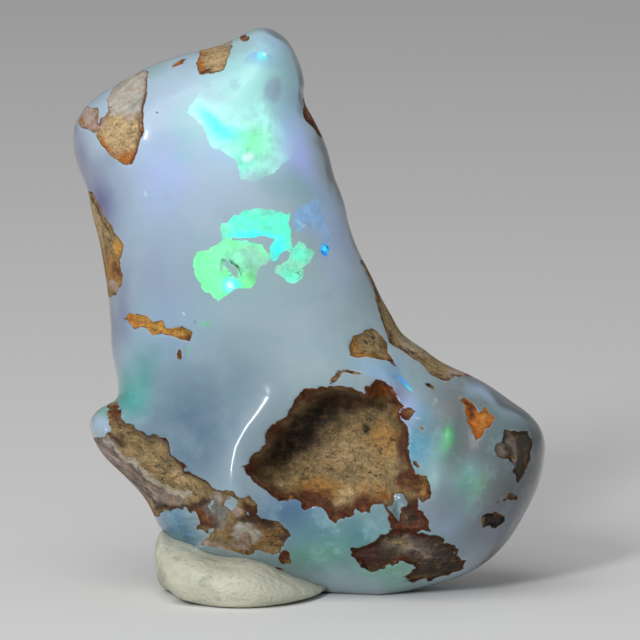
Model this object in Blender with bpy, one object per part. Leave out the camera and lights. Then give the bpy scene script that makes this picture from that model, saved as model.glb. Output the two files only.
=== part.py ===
"""A tumbled opal nugget in its brown host rock, propped up by a lump of putty.

The model is in metres with +Z up. The front of the stone faces -Y, and the
origin lies under the middle of the whole object, on the surface it stands on.

The stone is drawn on a board that leans back by a few degrees, as a standing
nugget is looked at from a little above. A point of the drawing is (across, up)
in millimetres, and a depth in front of or behind the board makes it a solid. A
point in front of the board is nearer to the eye, so it is drawn a little larger.
"""

import math

import bmesh
import bpy
import numpy as np

MM = 0.001
BOARD_LEAN = math.radians(7.0)
SIGHT_DISTANCE = 400.0
SIGHT_CENTRE = (0.5, 13.6)
RANDOM_SEED = 11

# Driving dimensions of the stone, in millimetres
CROWN_UP = 28.15
SOLE_UP = -0.42
FRONT_DEPTH = 4.7
BACK_DEPTH = 4.5
EDGE_ROUNDING = 4.6
THINNEST_HALF = 0.12
PIT_DEPTH = 3.1
PIT_SHALLOWEST = 0.55
PIT_WALL = 1.0
LEDGE_STEP = 1.15
LEDGE_EDGE = 0.45
LEDGE_ENDS_AT = -3.7
LEDGE_FADE = 1.8
PATCH_EDGE = 0.30
FRONT_GRAIN = ((0.85, 0.16), (0.40, 0.08))
BACK_GRAIN = ((1.3, 0.20), (0.6, 0.10))
BACK_SKIN_WORN = 0.22

# Fineness of the faceted stone
STONE_ROWS = 84
FRONT_COLUMNS = 36
BACK_COLUMNS = 16
CLOSER_ROWS = 0.40
CLOSER_COLUMNS = 0.70
BED_ROWS = 40
BED_FRONT_COLUMNS = 22
BED_BACK_COLUMNS = 14

# Driving dimensions of the putty, in millimetres
PUTTY_CENTRE = (-3.50, -0.25)
PUTTY_REACH = (4.35, 5.95)
PUTTY_LOW_END = 0.80
PUTTY_RISE_PER_MM = 0.36
PUTTY_SIDES = 30
CONTACT_GAP = 0.33

# The stone's left edge, from the crown down to the middle of the foot
LEFT_EDGE = (
    (-2.40, CROWN_UP), (-2.75, 28.10), (-3.10, 27.88), (-3.60, 27.65), (-4.50, 27.23),
    (-5.75, 26.95), (-7.15, 26.60), (-8.30, 26.10), (-9.65, 25.35), (-10.48, 24.85),
    (-11.10, 24.35), (-11.65, 23.60), (-11.85, 22.70), (-11.70, 21.60), (-11.30, 20.60),
    (-11.05, 20.05), (-10.90, 18.95), (-10.55, 17.75), (-10.25, 16.10), (-10.05, 14.60),
    (-9.95, 13.10), (-9.93, 12.10), (-9.70, 11.10), (-9.58, 10.20), (-9.63, 9.70),
    (-10.00, 9.40), (-10.60, 9.15), (-10.95, 8.70), (-11.03, 8.40), (-10.95, 7.95),
    (-10.80, 7.55), (-10.40, 6.85), (-9.85, 6.30), (-9.20, 5.70), (-8.35, 4.80),
    (-7.90, 4.00), (-7.57, 3.20), (-6.75, 2.35), (-5.50, 1.50), (-3.50, 0.72),
    (-1.50, 0.20), (0.55, -0.08), (3.50, SOLE_UP),
)

# The stone's right edge, from the crown down to the middle of the foot
RIGHT_EDGE = (
    (-2.40, CROWN_UP), (-2.00, 28.10), (-1.50, 27.85), (-1.15, 27.55), (-0.85, 27.10),
    (-0.60, 26.60), (-0.45, 26.20), (-0.30, 25.60), (-0.25, 25.20), (-0.33, 25.00),
    (-0.30, 24.70), (-0.25, 24.35), (0.10, 23.75), (0.50, 23.00), (0.75, 22.45),
    (0.95, 21.85), (1.20, 20.75), (1.50, 20.05), (1.75, 19.35), (2.00, 18.10),
    (2.50, 16.85), (3.05, 15.85), (3.55, 14.70), (4.00, 13.95), (4.50, 13.00),
    (5.05, 12.55), (5.75, 12.10), (6.35, 11.60), (7.10, 11.20), (8.20, 10.75),
    (9.10, 10.25), (10.20, 9.45), (10.95, 8.95), (11.55, 8.25), (11.80, 7.45),
    (11.75, 6.60), (11.55, 5.55), (11.15, 4.60), (10.60, 3.55), (10.00, 2.60),
    (9.30, 1.80), (8.40, 1.12), (7.50, 0.68), (6.50, 0.36), (5.25, 0.04),
    (3.50, SOLE_UP),
)

# The rim of the big rough pit in the lower middle
PIT_RIM = (
    (-3.40, 6.20), (-2.90, 6.75), (-2.35, 7.45), (-2.10, 8.10), (-1.90, 8.40),
    (-1.15, 8.80), (-1.00, 9.35), (-0.60, 9.75), (-0.25, 10.10), (0.60, 10.25),
    (1.65, 10.35), (2.65, 9.95), (2.90, 10.40), (3.40, 10.65), (3.85, 10.50),
    (4.55, 9.60), (4.50, 9.00), (4.85, 8.30), (5.10, 6.40), (5.25, 5.85),
    (5.85, 5.75), (6.10, 5.15), (6.05, 4.55), (5.50, 4.65), (5.40, 4.20),
    (5.85, 3.95), (6.05, 3.20), (5.00, 3.05), (4.05, 3.15), (3.50, 3.70),
    (3.05, 4.20), (2.40, 4.10), (1.65, 3.80), (1.35, 3.45), (0.90, 3.80),
    (0.55, 4.10), (-0.35, 4.05), (-1.00, 4.65), (-1.60, 4.50), (-2.15, 4.80),
    (-2.55, 5.20), (-3.30, 5.95),
)

# The shelf of host rock on the left, which lies behind the polished face
LEDGE = (
    (-9.55, 9.60), (-9.35, 8.70), (-8.90, 8.30), (-8.40, 8.00), (-7.65, 7.85),
    (-7.15, 7.70), (-6.90, 7.05), (-6.50, 6.60), (-5.90, 6.10), (-5.35, 5.60),
    (-4.85, 5.20), (-4.10, 5.05), (-3.60, 4.40), (-4.40, 3.10), (-6.00, 1.80),
    (-7.60, 1.40), (-12.50, 5.50), (-12.50, 10.00),
)

# Patches of host rock worn a little lower than the opal round them, front side
CROWN_LEFT_PATCH = (
    (-8.00, 25.95), (-8.13, 24.85), (-8.30, 24.00), (-8.28, 23.10), (-8.50, 22.40),
    (-8.85, 21.35), (-9.50, 21.40), (-10.10, 22.00), (-10.70, 22.75), (-10.55, 23.60),
    (-10.00, 24.00), (-10.10, 24.60), (-9.90, 25.10), (-9.25, 25.65), (-8.50, 26.20),
)
CROWN_TOP_PATCH = (
    (-5.45, 27.20), (-5.65, 26.40), (-5.50, 25.85), (-5.00, 25.85), (-4.35, 26.05),
    (-4.10, 26.55), (-3.90, 27.10), (-3.80, 27.80),
)
LEFT_EDGE_STRIP = (
    (-11.10, 20.10), (-10.85, 19.85), (-10.35, 19.00), (-10.05, 18.10), (-9.30, 17.50),
    (-9.55, 16.70), (-9.30, 15.70), (-9.55, 15.00), (-10.30, 14.60), (-11.00, 16.60),
    (-11.50, 19.60),
)
LEFT_STROKE = (
    (-9.35, 13.65), (-9.00, 13.95), (-8.25, 13.90), (-7.90, 13.55), (-7.40, 13.65),
    (-7.20, 13.15), (-6.40, 13.30), (-5.85, 12.95), (-6.00, 12.55), (-7.25, 12.90),
    (-7.90, 12.83), (-8.30, 13.30), (-8.75, 13.15), (-9.15, 13.55),
)
WAIST_PATCH = (
    (1.95, 11.75), (2.00, 12.30), (2.20, 12.75), (2.75, 13.05), (3.20, 13.20),
    (3.75, 12.55), (3.90, 12.00), (4.30, 11.30), (3.75, 11.60), (2.80, 11.75),
)
RIGHT_EDGE_SKIN = (
    (2.55, 16.50), (3.15, 15.35), (3.25, 14.60), (3.55, 13.85), (3.70, 13.20),
    (3.95, 12.35), (4.50, 12.10), (5.10, 11.75), (5.75, 11.20), (6.30, 10.70),
    (6.80, 10.50), (7.35, 10.85), (8.20, 10.75), (8.60, 11.30), (6.50, 12.80),
    (4.60, 14.60), (3.30, 17.00),
)
UPPER_EDGE_SKIN = (
    (-0.35, 24.60), (-0.35, 23.70), (0.00, 23.40), (0.25, 23.00), (0.50, 22.70),
    (1.10, 22.80), (0.00, 24.90),
)
HEART_PATCH = (
    (7.60, 9.65), (7.95, 9.55), (8.40, 8.85), (8.80, 9.15), (9.00, 8.70),
    (8.95, 8.30), (8.35, 7.70), (8.05, 8.00),
)
HEEL_PATCH = (
    (9.35, 7.40), (9.95, 8.15), (10.85, 8.10), (11.10, 7.70), (11.05, 6.65),
    (10.80, 6.10), (10.45, 5.40), (10.05, 6.40), (9.40, 6.70),
)
LOWER_RIGHT_PATCH = (
    (2.15, 2.20), (3.10, 2.50), (4.05, 3.15), (5.00, 3.15), (6.00, 2.95),
    (7.40, 2.30), (7.30, 1.80), (7.80, 1.55), (7.60, 1.05), (6.45, 0.65),
    (5.30, 0.40), (4.75, 0.60), (5.30, 1.15), (4.45, 1.55), (3.10, 0.85),
    (2.20, 1.80),
)
LOWER_LEFT_PATCH = (
    (-4.85, 4.75), (-4.10, 5.05), (-3.25, 4.55), (-3.15, 3.80), (-1.60, 3.55),
    (-0.95, 2.80), (-1.50, 2.00), (-3.40, 1.95), (-5.65, 2.40), (-4.85, 3.10),
)

# Each front patch with the depth it is worn down to, in millimetres
FRONT_PATCHES = (
    (CROWN_LEFT_PATCH, 0.28), (CROWN_TOP_PATCH, 0.22), (LEFT_EDGE_STRIP, 0.25),
    (LEFT_STROKE, 0.20), (WAIST_PATCH, 0.28), (RIGHT_EDGE_SKIN, 0.35),
    (UPPER_EDGE_SKIN, 0.25), (HEART_PATCH, 0.15), (HEEL_PATCH, 0.18),
    (LOWER_RIGHT_PATCH, 0.40), (LOWER_LEFT_PATCH, 0.22),
)

# Polished windows of opal that stand proud of the rough skin on the back
BACK_WINDOWS = (
    ((-8.20, 24.60), (-4.10, 25.60), (-2.00, 23.60), (-3.20, 20.60), (-6.50, 19.30),
     (-9.20, 21.30)),
    ((-3.60, 17.60), (0.20, 18.40), (1.60, 15.40), (0.10, 12.60), (-3.40, 13.30)),
    ((3.20, 9.60), (7.60, 9.20), (9.80, 6.80), (8.20, 3.60), (4.30, 2.80), (2.40, 6.00)),
    ((-8.90, 8.20), (-5.60, 9.40), (-3.60, 7.10), (-5.20, 4.40), (-8.10, 5.00)),
)

# Broad swellings of the front: across, up, reach across, reach up, height
FRONT_SWELLINGS = (
    (-4.0, 21.0, 4.6, 2.6, 0.38),
    (-2.2, 26.4, 1.9, 1.4, 0.42),
    (-4.4, 14.2, 4.4, 2.6, 0.30),
    (7.0, 6.2, 3.8, 3.6, 0.60),
    (1.2, 1.9, 3.6, 1.2, 0.30),
    (-9.6, 8.3, 1.6, 0.9, 0.55),
    (7.7, 7.9, 0.8, 1.7, -0.42),
    (-8.2, 11.0, 1.6, 1.4, -0.20),
)

# Broad swellings and hollows of the back
BACK_SWELLINGS = (
    (-5.0, 22.5, 3.2, 2.6, 0.45),
    (-1.0, 15.0, 3.0, 3.4, 0.40),
    (6.2, 6.2, 3.6, 3.2, 0.50),
    (-2.2, 9.2, 2.4, 2.6, -0.85),
    (-7.6, 17.2, 1.6, 2.4, -0.40),
    (2.2, 3.6, 2.4, 1.3, -0.45),
)

# The crest between the left face and the pit
FRONT_CREST = ((-1.6, 10.2), (-2.35, 9.2), (-3.1, 8.2), (-3.65, 7.2), (-3.95, 6.2), (-4.05, 5.2))
CREST_HEIGHT = 0.42
CREST_REACH = 0.85

# Rings of the putty from its flat base to its top: reach across, reach along, rise
PUTTY_RINGS = (
    (0.42, 0.50, 0.00), (0.72, 0.86, 0.00), (0.80, 0.925, 0.035), (0.90, 0.965, 0.14),
    (0.97, 0.99, 0.28), (1.00, 1.00, 0.46), (0.985, 0.98, 0.66), (0.93, 0.93, 0.84),
    (0.82, 0.84, 0.96), (0.62, 0.66, 1.04), (0.34, 0.38, 1.10),
)
PUTTY_LUMPS = 0.16
PUTTY_TOP_RISE = 1.12

OPAL_COLOUR = (0.42, 0.52, 0.60, 1.0)
PUTTY_COLOUR = (0.74, 0.73, 0.64, 1.0)


def clear_scene():
    """Remove whatever the opened file holds."""
    for item in list(bpy.data.objects):
        bpy.data.objects.remove(item, do_unlink=True)


def make_material(name, colour, roughness, coat):
    """A plain surface finish for one piece."""
    material = bpy.data.materials.new(name)
    material.use_nodes = True
    shader = material.node_tree.nodes["Principled BSDF"]
    shader.inputs["Base Color"].default_value = colour
    shader.inputs["Roughness"].default_value = roughness
    shader.inputs["Metallic"].default_value = 0.0
    shader.inputs["Coat Weight"].default_value = coat
    return material


def rounded_chain(points, rounds=2):
    """Cut the corners of an open chain again and again, keeping its two ends."""
    chain = np.asarray(points, dtype=float)
    for _ in range(rounds):
        near = 0.75 * chain[:-1] + 0.25 * chain[1:]
        far = 0.25 * chain[:-1] + 0.75 * chain[1:]
        middle = np.stack([near, far], axis=1).reshape(-1, 2)
        chain = np.vstack([chain[:1], middle, chain[-1:]])
    return chain


def smooth_step(value):
    """Rise from 0 to 1 with level ends."""
    held = np.clip(value, 0.0, 1.0)
    return held * held * (3.0 - 2.0 * held)


def segment_frames(points, starts, ends):
    """Each point's distance along and beside every segment, and the lengths."""
    run = ends - starts
    length = np.hypot(run[:, 0], run[:, 1])
    unit = run / length[:, None]
    offset = points[:, None, :] - starts[None, :, :]
    along = offset[:, :, 0] * unit[None, :, 0] + offset[:, :, 1] * unit[None, :, 1]
    beside = offset[:, :, 0] * unit[None, :, 1] - offset[:, :, 1] * unit[None, :, 0]
    return along, beside, length


def distance_inside(points, corners):
    """Distance to a closed outline, above zero inside it and below zero outside."""
    starts = np.asarray(corners, dtype=float)
    ends = np.roll(starts, -1, axis=0)
    along, beside, length = segment_frames(points, starts, ends)
    past = along - np.clip(along, 0.0, length[None, :])
    nearest = np.sqrt(np.min(past * past + beside * beside, axis=1))
    x = points[:, None, 0]
    y = points[:, None, 1]
    crosses = (starts[None, :, 1] > y) != (ends[None, :, 1] > y)
    rise = ends[:, 1] - starts[:, 1]
    rise = np.where(np.abs(rise) < 1e-9, 1e-9, rise)
    hit = starts[None, :, 0] + (y - starts[None, :, 1]) * (ends[:, 0] - starts[:, 0]) / rise
    inside = np.sum(crosses & (x < hit), axis=1) % 2 == 1
    return np.where(inside, nearest, -nearest)


def soft_edge_distance(points, outline):
    """A distance from the outline that has no creases.

    Every stretch of outline pushes with the inverse fourth power of its distance.
    The push is summed exactly along each stretch and turned back into a distance,
    which is the true one close to an edge and levels off in the middle.
    """
    starts = outline
    ends = np.roll(outline, -1, axis=0)
    along, beside, length = segment_frames(points, starts, ends)
    off = np.maximum(np.abs(beside), 1e-4)

    def push(reach):
        flat = reach / (2.0 * off ** 2 * (off ** 2 + reach ** 2))
        return flat + np.arctan(reach / off) / (2.0 * off ** 3)

    total = np.sum(push(length[None, :] - along) + push(along), axis=1)
    return (0.5 * math.pi / total) ** (1.0 / 3.0)


def lattice_noise(points, cell, seed):
    """Smooth noise from -1 to 1: random values on a cubic lattice, blended."""
    table = np.random.default_rng(seed).uniform(-1.0, 1.0, (32, 32, 32))
    scaled = points / cell
    base = np.floor(scaled).astype(int)
    part = smooth_step(scaled - base)
    total = np.zeros(len(points))
    for dx in (0, 1):
        for dy in (0, 1):
            for dz in (0, 1):
                wx = part[:, 0] if dx else 1.0 - part[:, 0]
                wy = part[:, 1] if dy else 1.0 - part[:, 1]
                wz = part[:, 2] if dz else 1.0 - part[:, 2]
                value = table[(base[:, 0] + dx) % 32, (base[:, 1] + dy) % 32, (base[:, 2] + dz) % 32]
                total += wx * wy * wz * value
    return total


def swellings(points, table):
    """The sum of round swellings, each fading like a bell."""
    total = np.zeros(len(points))
    for across, up, reach_across, reach_up, height in table:
        spread = ((points[:, 0] - across) / reach_across) ** 2
        spread += ((points[:, 1] - up) / reach_up) ** 2
        total += height * np.exp(-spread)
    return total


def crest(points):
    """The rounded crest beside the pit, fading out at its two ends."""
    chain = np.asarray(FRONT_CREST)
    along, beside, length = segment_frames(points, chain[:-1], chain[1:])
    past = along - np.clip(along, 0.0, length[None, :])
    near = np.min(past * past + beside * beside, axis=1)
    fade = smooth_step((points[:, 1] - 4.0) / 2.0) * smooth_step((11.8 - points[:, 1]) / 2.0)
    return CREST_HEIGHT * fade * np.exp(-near / CREST_REACH ** 2)


def pit_depth(points):
    """Depth of the big pit: steep walls, deepest at its upper left."""
    inside = distance_inside(points, PIT_RIM)
    wall = smooth_step(inside / PIT_WALL)
    slope = (points[:, 0] - 0.2) * 0.23 - (points[:, 1] - 8.2) * 0.30
    floor = np.clip(PIT_DEPTH - np.maximum(slope, -0.2), PIT_SHALLOWEST, PIT_DEPTH)
    return wall * floor


def grain(points, sizes, seed):
    """The roughness of broken rock: noise of a few sizes, one on the other."""
    spots = np.column_stack([points, np.full(len(points), float(seed))])
    total = np.zeros(len(points))
    for step, (cell, height) in enumerate(sizes):
        total += height * lattice_noise(spots, cell, seed + step)
    return total


def front_relief(points):
    """How far the front face lies behind its smooth swelling, in millimetres."""
    depth = pit_depth(points)
    ledge = smooth_step(distance_inside(points, LEDGE) / LEDGE_EDGE)
    depth += LEDGE_STEP * ledge * smooth_step((LEDGE_ENDS_AT - points[:, 0]) / LEDGE_FADE)
    for corners, worn in FRONT_PATCHES:
        depth += worn * smooth_step(distance_inside(points, corners) / PATCH_EDGE)
    rock = np.clip(depth / 0.35, 0.0, 1.0)
    return depth + rock * grain(points, FRONT_GRAIN, RANDOM_SEED)


def back_relief(points):
    """The back's rough skin, with its polished windows standing proud of it."""
    window = np.full(len(points), -9.0)
    for corners in BACK_WINDOWS:
        window = np.maximum(window, distance_inside(points, corners))
    skin = 1.0 - smooth_step((window + 0.35) / 0.7)
    return skin * (BACK_SKIN_WORN + grain(points, BACK_GRAIN, RANDOM_SEED + 2))


def stone_outline():
    """Left and right edges of the stone as fine chains, and the closed outline."""
    left = rounded_chain(LEFT_EDGE)
    right = rounded_chain(RIGHT_EDGE)
    closed = np.vstack([left, right[-2:0:-1]])
    return left, right, closed


def spaced(count, cosine_share):
    """Numbers from -1 to 1, closer together towards both ends."""
    turn = np.linspace(0.0, math.pi, count + 1)
    even = turn / math.pi * 2.0 - 1.0
    return -cosine_share * np.cos(turn) + (1.0 - cosine_share) * even


def stone_rings(rows, front_columns, back_columns, grown):
    """Rings of points round the stone, one for each height on the board.

    A ring runs from the left edge over the front to the right edge, and back over
    the rear. The depth is a quarter ellipse of the distance from the outline, with
    swellings added and the relief taken away.
    """
    left, right, closed = stone_outline()
    share_up = (0.5 - 0.5 * spaced(rows, CLOSER_ROWS))[1:-1]
    ups = SOLE_UP + share_up * (CROWN_UP - SOLE_UP)
    low = np.interp(ups, left[::-1, 1], left[::-1, 0])
    high = np.interp(ups, right[::-1, 1], right[::-1, 0])
    front = spaced(front_columns, CLOSER_COLUMNS)
    back = spaced(back_columns, CLOSER_COLUMNS)[-2:0:-1]
    share = np.concatenate([front, back])
    across = 0.5 * (low + high)[:, None] + 0.5 * (high - low)[:, None] * share[None, :]
    up = np.repeat(ups[:, None], len(share), axis=1)
    flat = np.column_stack([across.ravel(), up.ravel()])
    is_front = np.tile(np.arange(len(share)) <= front_columns, len(ups))
    rim = np.tile(np.abs(share) > 0.9999, len(ups))

    edge = np.where(rim, 0.0, soft_edge_distance(flat, closed))
    near = np.clip(edge / EDGE_ROUNDING, 0.0, 1.0)
    curve = np.sqrt(1.0 - (1.0 - near) ** 2)
    fade = smooth_step(near / 0.5)
    front_bulge = FRONT_DEPTH * curve + fade * (swellings(flat, FRONT_SWELLINGS) + crest(flat))
    back_bulge = BACK_DEPTH * curve + fade * swellings(flat, BACK_SWELLINGS)
    front_y = -front_bulge + front_relief(flat) * curve
    back_y = back_bulge - back_relief(flat) * curve
    front_y = np.minimum(front_y, -THINNEST_HALF * curve)
    back_y = np.maximum(back_y, THINNEST_HALF * curve)
    depth = np.where(is_front, front_y, back_y)
    depth = np.where(rim, 0.0, depth)

    lift = np.where(is_front, depth * math.sin(BOARD_LEAN), 0.0)
    nearer = np.where(is_front, depth, 0.0)[:, None] / SIGHT_DISTANCE
    true = flat + (flat - np.array(SIGHT_CENTRE)) * nearer
    height = (true[:, 1] - lift) / math.cos(BOARD_LEAN)
    rings = np.column_stack([true[:, 0], depth, height]).reshape(len(ups), len(share), 3)
    top = np.array([left[0, 0], 0.0, CROWN_UP / math.cos(BOARD_LEAN)])
    bottom = np.array([left[-1, 0], 0.0, SOLE_UP])
    if grown:
        rings, top, bottom = grow(rings, top, bottom, grown)
    return rings, top, bottom


def grow(rings, top, bottom, amount):
    """Push every ring point outwards, square to the surface, by the amount."""
    upper = np.vstack([np.repeat(top[None, None, :], rings.shape[1], axis=1), rings[:-1]])
    lower = np.vstack([rings[1:], np.repeat(bottom[None, None, :], rings.shape[1], axis=1)])
    around = np.roll(rings, -1, axis=1) - np.roll(rings, 1, axis=1)
    normal = np.cross(lower - upper, around)
    normal /= np.maximum(np.linalg.norm(normal, axis=2, keepdims=True), 1e-9)
    lifted = np.array([0.0, 0.0, amount])
    return rings + normal * amount, top + lifted, bottom - lifted


def rings_to_object(name, rings, top, bottom):
    """Skin rings of points, from the top down, into one closed object."""
    mesh = bpy.data.meshes.new(name)
    model = bmesh.new()
    crown = model.verts.new(top * MM)
    loops = [[model.verts.new(point * MM) for point in ring] for ring in rings]
    base = model.verts.new(bottom * MM)
    count = len(loops[0])
    for i in range(count):
        following = (i + 1) % count
        model.faces.new((crown, loops[0][i], loops[0][following]))
        for upper, lower in zip(loops[:-1], loops[1:]):
            model.faces.new((upper[i], lower[i], lower[following], upper[following]))
        model.faces.new((base, loops[-1][following], loops[-1][i]))
    bmesh.ops.triangulate(model, faces=model.faces[:], quad_method="SHORT_EDGE")
    bmesh.ops.recalc_face_normals(model, faces=model.faces[:])
    model.to_mesh(mesh)
    model.free()
    mesh.shade_smooth()
    piece = bpy.data.objects.new(name, mesh)
    bpy.context.scene.collection.objects.link(piece)
    return piece


def level_sole(rings, bottom):
    """Press the lowest sliver of the stone level, so that it stands on a small flat."""
    pressed = rings.copy()
    pressed[:, :, 2] = np.maximum(pressed[:, :, 2], 0.0)
    return pressed, np.array([bottom[0], bottom[1], 0.0])


def make_stone():
    """The whole nugget, opal and host rock in one solid."""
    rings, top, bottom = stone_rings(STONE_ROWS, FRONT_COLUMNS, BACK_COLUMNS, 0.0)
    rings, bottom = level_sole(rings, bottom)
    stone = rings_to_object("opal", rings, top, bottom)
    stone.data.materials.append(make_material("opal_in_matrix", OPAL_COLOUR, 0.18, 0.8))
    return stone


def make_stone_cutter():
    """The stone grown by the contact gap, which presses its bed into the putty."""
    rings, top, bottom = stone_rings(BED_ROWS, BED_FRONT_COLUMNS, BED_BACK_COLUMNS, CONTACT_GAP)
    cutter = rings_to_object("stone_bed", rings, top, bottom)
    cutter.hide_render = True
    cutter.display_type = "WIRE"
    return cutter


def putty_rings():
    """Rings of the squashed lump: ellipses whose rise grows towards the left."""
    turn = np.linspace(0.0, 2.0 * math.pi, PUTTY_SIDES, endpoint=False)
    rings = []
    for reach_across, reach_along, rise in PUTTY_RINGS:
        across = PUTTY_CENTRE[0] + PUTTY_REACH[0] * reach_across * np.cos(turn)
        along = PUTTY_CENTRE[1] + PUTTY_REACH[1] * reach_along * np.sin(turn)
        height = rise * (PUTTY_LOW_END - PUTTY_RISE_PER_MM * (across - 0.4))
        ring = np.column_stack([across, along, height])
        if rise > 0.0:
            ring[:, :2] += (PUTTY_LUMPS * lattice_noise(ring, 2.4, RANDOM_SEED + 5))[:, None]
        rings.append(ring)
    return np.array(rings[::-1])


def make_putty(cutter):
    """The lump of putty with the bed that the stone has pressed into it."""
    rings = putty_rings()
    centre = np.array([PUTTY_CENTRE[0], PUTTY_CENTRE[1], 0.0])
    peak = PUTTY_TOP_RISE * (PUTTY_LOW_END - PUTTY_RISE_PER_MM * (PUTTY_CENTRE[0] - 0.4))
    putty = rings_to_object("mounting_putty", rings, centre + np.array([0.0, 0.0, peak]), centre)
    putty.data.materials.append(make_material("white_putty", PUTTY_COLOUR, 0.6, 0.0))
    bed = putty.modifiers.new("Bed pressed by the stone", "BOOLEAN")
    bed.operation = "DIFFERENCE"
    bed.solver = "EXACT"
    bed.object = cutter
    return putty


def main():
    """Build the stone and its putty."""
    clear_scene()
    make_stone()
    make_putty(make_stone_cutter())


main()
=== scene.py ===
"""Looks of a tumbled opal nugget in its brown host rock, propped in a lump of putty.

The stone is drawn on a board that leans back a little, in millimetres across and
up, and a depth in front of or behind the board makes it a solid. Its colours are
laid on as marks on the same board, so each mark sits on the form it belongs to.
"""

import math

import bmesh
import bpy
import numpy as np
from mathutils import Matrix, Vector


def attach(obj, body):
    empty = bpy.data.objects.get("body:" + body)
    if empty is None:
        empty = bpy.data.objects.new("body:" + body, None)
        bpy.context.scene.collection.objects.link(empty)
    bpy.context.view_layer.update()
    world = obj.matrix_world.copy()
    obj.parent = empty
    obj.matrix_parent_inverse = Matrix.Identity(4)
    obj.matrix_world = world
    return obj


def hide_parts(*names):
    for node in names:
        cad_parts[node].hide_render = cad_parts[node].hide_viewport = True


bl_info = {
    "name": "Tumbled opal nugget",
    "version": (1, 0, 0),
    "blender": (4, 5, 0),
    "location": "3D View > Sidebar > Opal",
    "description": "Makes a milky opal nugget in host rock, its mounting putty and a studio",
    "category": "Add Mesh",
}

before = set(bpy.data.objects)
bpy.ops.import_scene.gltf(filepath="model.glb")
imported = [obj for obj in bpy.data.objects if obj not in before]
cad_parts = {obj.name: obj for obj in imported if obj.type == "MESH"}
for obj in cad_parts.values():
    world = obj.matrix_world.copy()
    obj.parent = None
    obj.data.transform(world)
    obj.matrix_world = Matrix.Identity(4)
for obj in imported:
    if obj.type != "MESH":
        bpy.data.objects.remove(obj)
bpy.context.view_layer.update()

MM = 0.001
BODY = "root"
BOARD_LEAN = math.radians(7.0)
SIGHT_DISTANCE = 400.0
SIGHT_CENTRE = (0.5, 13.6)

# Seeds of the noise by its use
SEEDS = {
    "front grain": 11, "back grain": 13, "putty lumps": 16, "putty creases": 17,
    "ragged edge": 21, "polish": 26, "milk drift": 41, "band": 43, "flash edge": 61,
    "mark edge": 71, "rust": 81, "back edge": 91, "wrap": 95, "back flashes": 101,
}
UP_SEED_STEP = 20
LATTICE_CELLS = 32

# Driving dimensions of the stone, in millimetres, as its solid has them
CROWN_UP = 28.15
SOLE_UP = -0.42
FRONT_DEPTH = 4.7
BACK_DEPTH = 4.5
EDGE_ROUNDING = 4.6
THINNEST_HALF = 0.12
PIT_DEPTH = 3.1
PIT_SHALLOWEST = 0.55
PIT_WALL = 0.70
PIT_MIDDLE = (0.2, 8.2)
PIT_SLOPE = (0.23, 0.30)
PIT_LEVEL = -0.2
LEDGE_STEP = 1.15
LEDGE_EDGE = 0.30
LEDGE_ENDS_AT = -3.7
LEDGE_FADE = 1.8
PATCH_EDGE = 0.16
GRAIN_STARTS = 0.50
FRONT_GRAIN = ((0.85, 0.20), (0.40, 0.12), (0.21, 0.075), (0.12, 0.038))
BACK_GRAIN = ((1.9, 0.26), (0.8, 0.15), (0.36, 0.07), (0.20, 0.035))
BACK_SKIN_WORN = 0.24
BACK_SKIN_EDGE = 0.3
POLISH_WAVES = ((3.2, 0.035), (1.1, 0.008))
RAGGED_EDGE = ((0.62, 0.13), (0.30, 0.13), (0.16, 0.07))
FLASH_EDGE = ((0.45, 0.09), (0.20, 0.06))
MARK_EDGE = ((1.10, 0.24), (0.45, 0.20), (0.20, 0.10))
BACK_EDGE = ((2.6, 1.50), (1.1, 0.70), (0.45, 0.22))
BACK_EDGE_STARTS = 0.6
WRAP_WIDTH = 0.50
WRAP_WANDER = ((3.4, 0.55), (1.3, 0.30), (0.5, 0.12))
CARRIED_OVER = 1.4
SIDES_BLEND = 1.3
FORM_FADE = 0.5
UPPER_RAGGED = 0.45
LOWER_RAGGED_MORE = 0.55
RAGGED_BELOW = 11.5
RAGGED_FADE = 2.0
REACH_LIMIT = 9.0
ROCK_ALONE_FROM = 0.14

# Colour of the stone: how far its marks drift, its lines and rust, and the dark band on the right
MILK_DRIFT = ((2.6, 0.55), (1.1, 0.22))
LINE_SIDES = 1.5
RUST_WANDER = ((0.9, 0.36), (0.3, 0.16))
RUST_FADE = 0.25
RUST_OUTSIDE = -0.3
BAND_WIDTH = 0.36
BAND_FADE = 0.32
BAND_STRENGTH = 0.65
BAND_WANDER = ((2.4, 0.45), (0.8, 0.22))
BAND_SLANT = 0.40
BAND_STARTS = 8.2
BAND_START_FADE = 1.2

# Drifts of colour on the back's rock: finish, cell, strength, seed
BACK_DRIFTS = (("honey", 4.2, 0.8, 40), ("sand", 2.4, 0.7, 43), ("umber", 3.1, 0.5, 41),
               ("rust", 1.6, 0.5, 42), ("ash", 1.3, 0.25, 44), ("umber", 0.7, 0.45, 45))
DRIFT_LAYERS = ((1.0, 1.0), (0.42, 0.55), (0.17, 0.35))
DRIFT_CONTRAST = 1.4
DRIFT_STARTS = 0.10

# Fineness of the stone's surface
STONE_FINENESS = (300, 232, 96)
BED_FINENESS = (90, 70, 44)
CLOSER_COLUMNS = 0.45
CLOSER_LOW = 0.75
CLOSER_BELOW = 12.6
CLOSER_FADE = 2.0
CLOSER_ENDS = 0.12
END_SHARPNESS = 0.06
HEIGHT_STEPS = 2000
RIM_SHARE = 0.9999
POINTS_AT_ONCE = 8000

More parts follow.
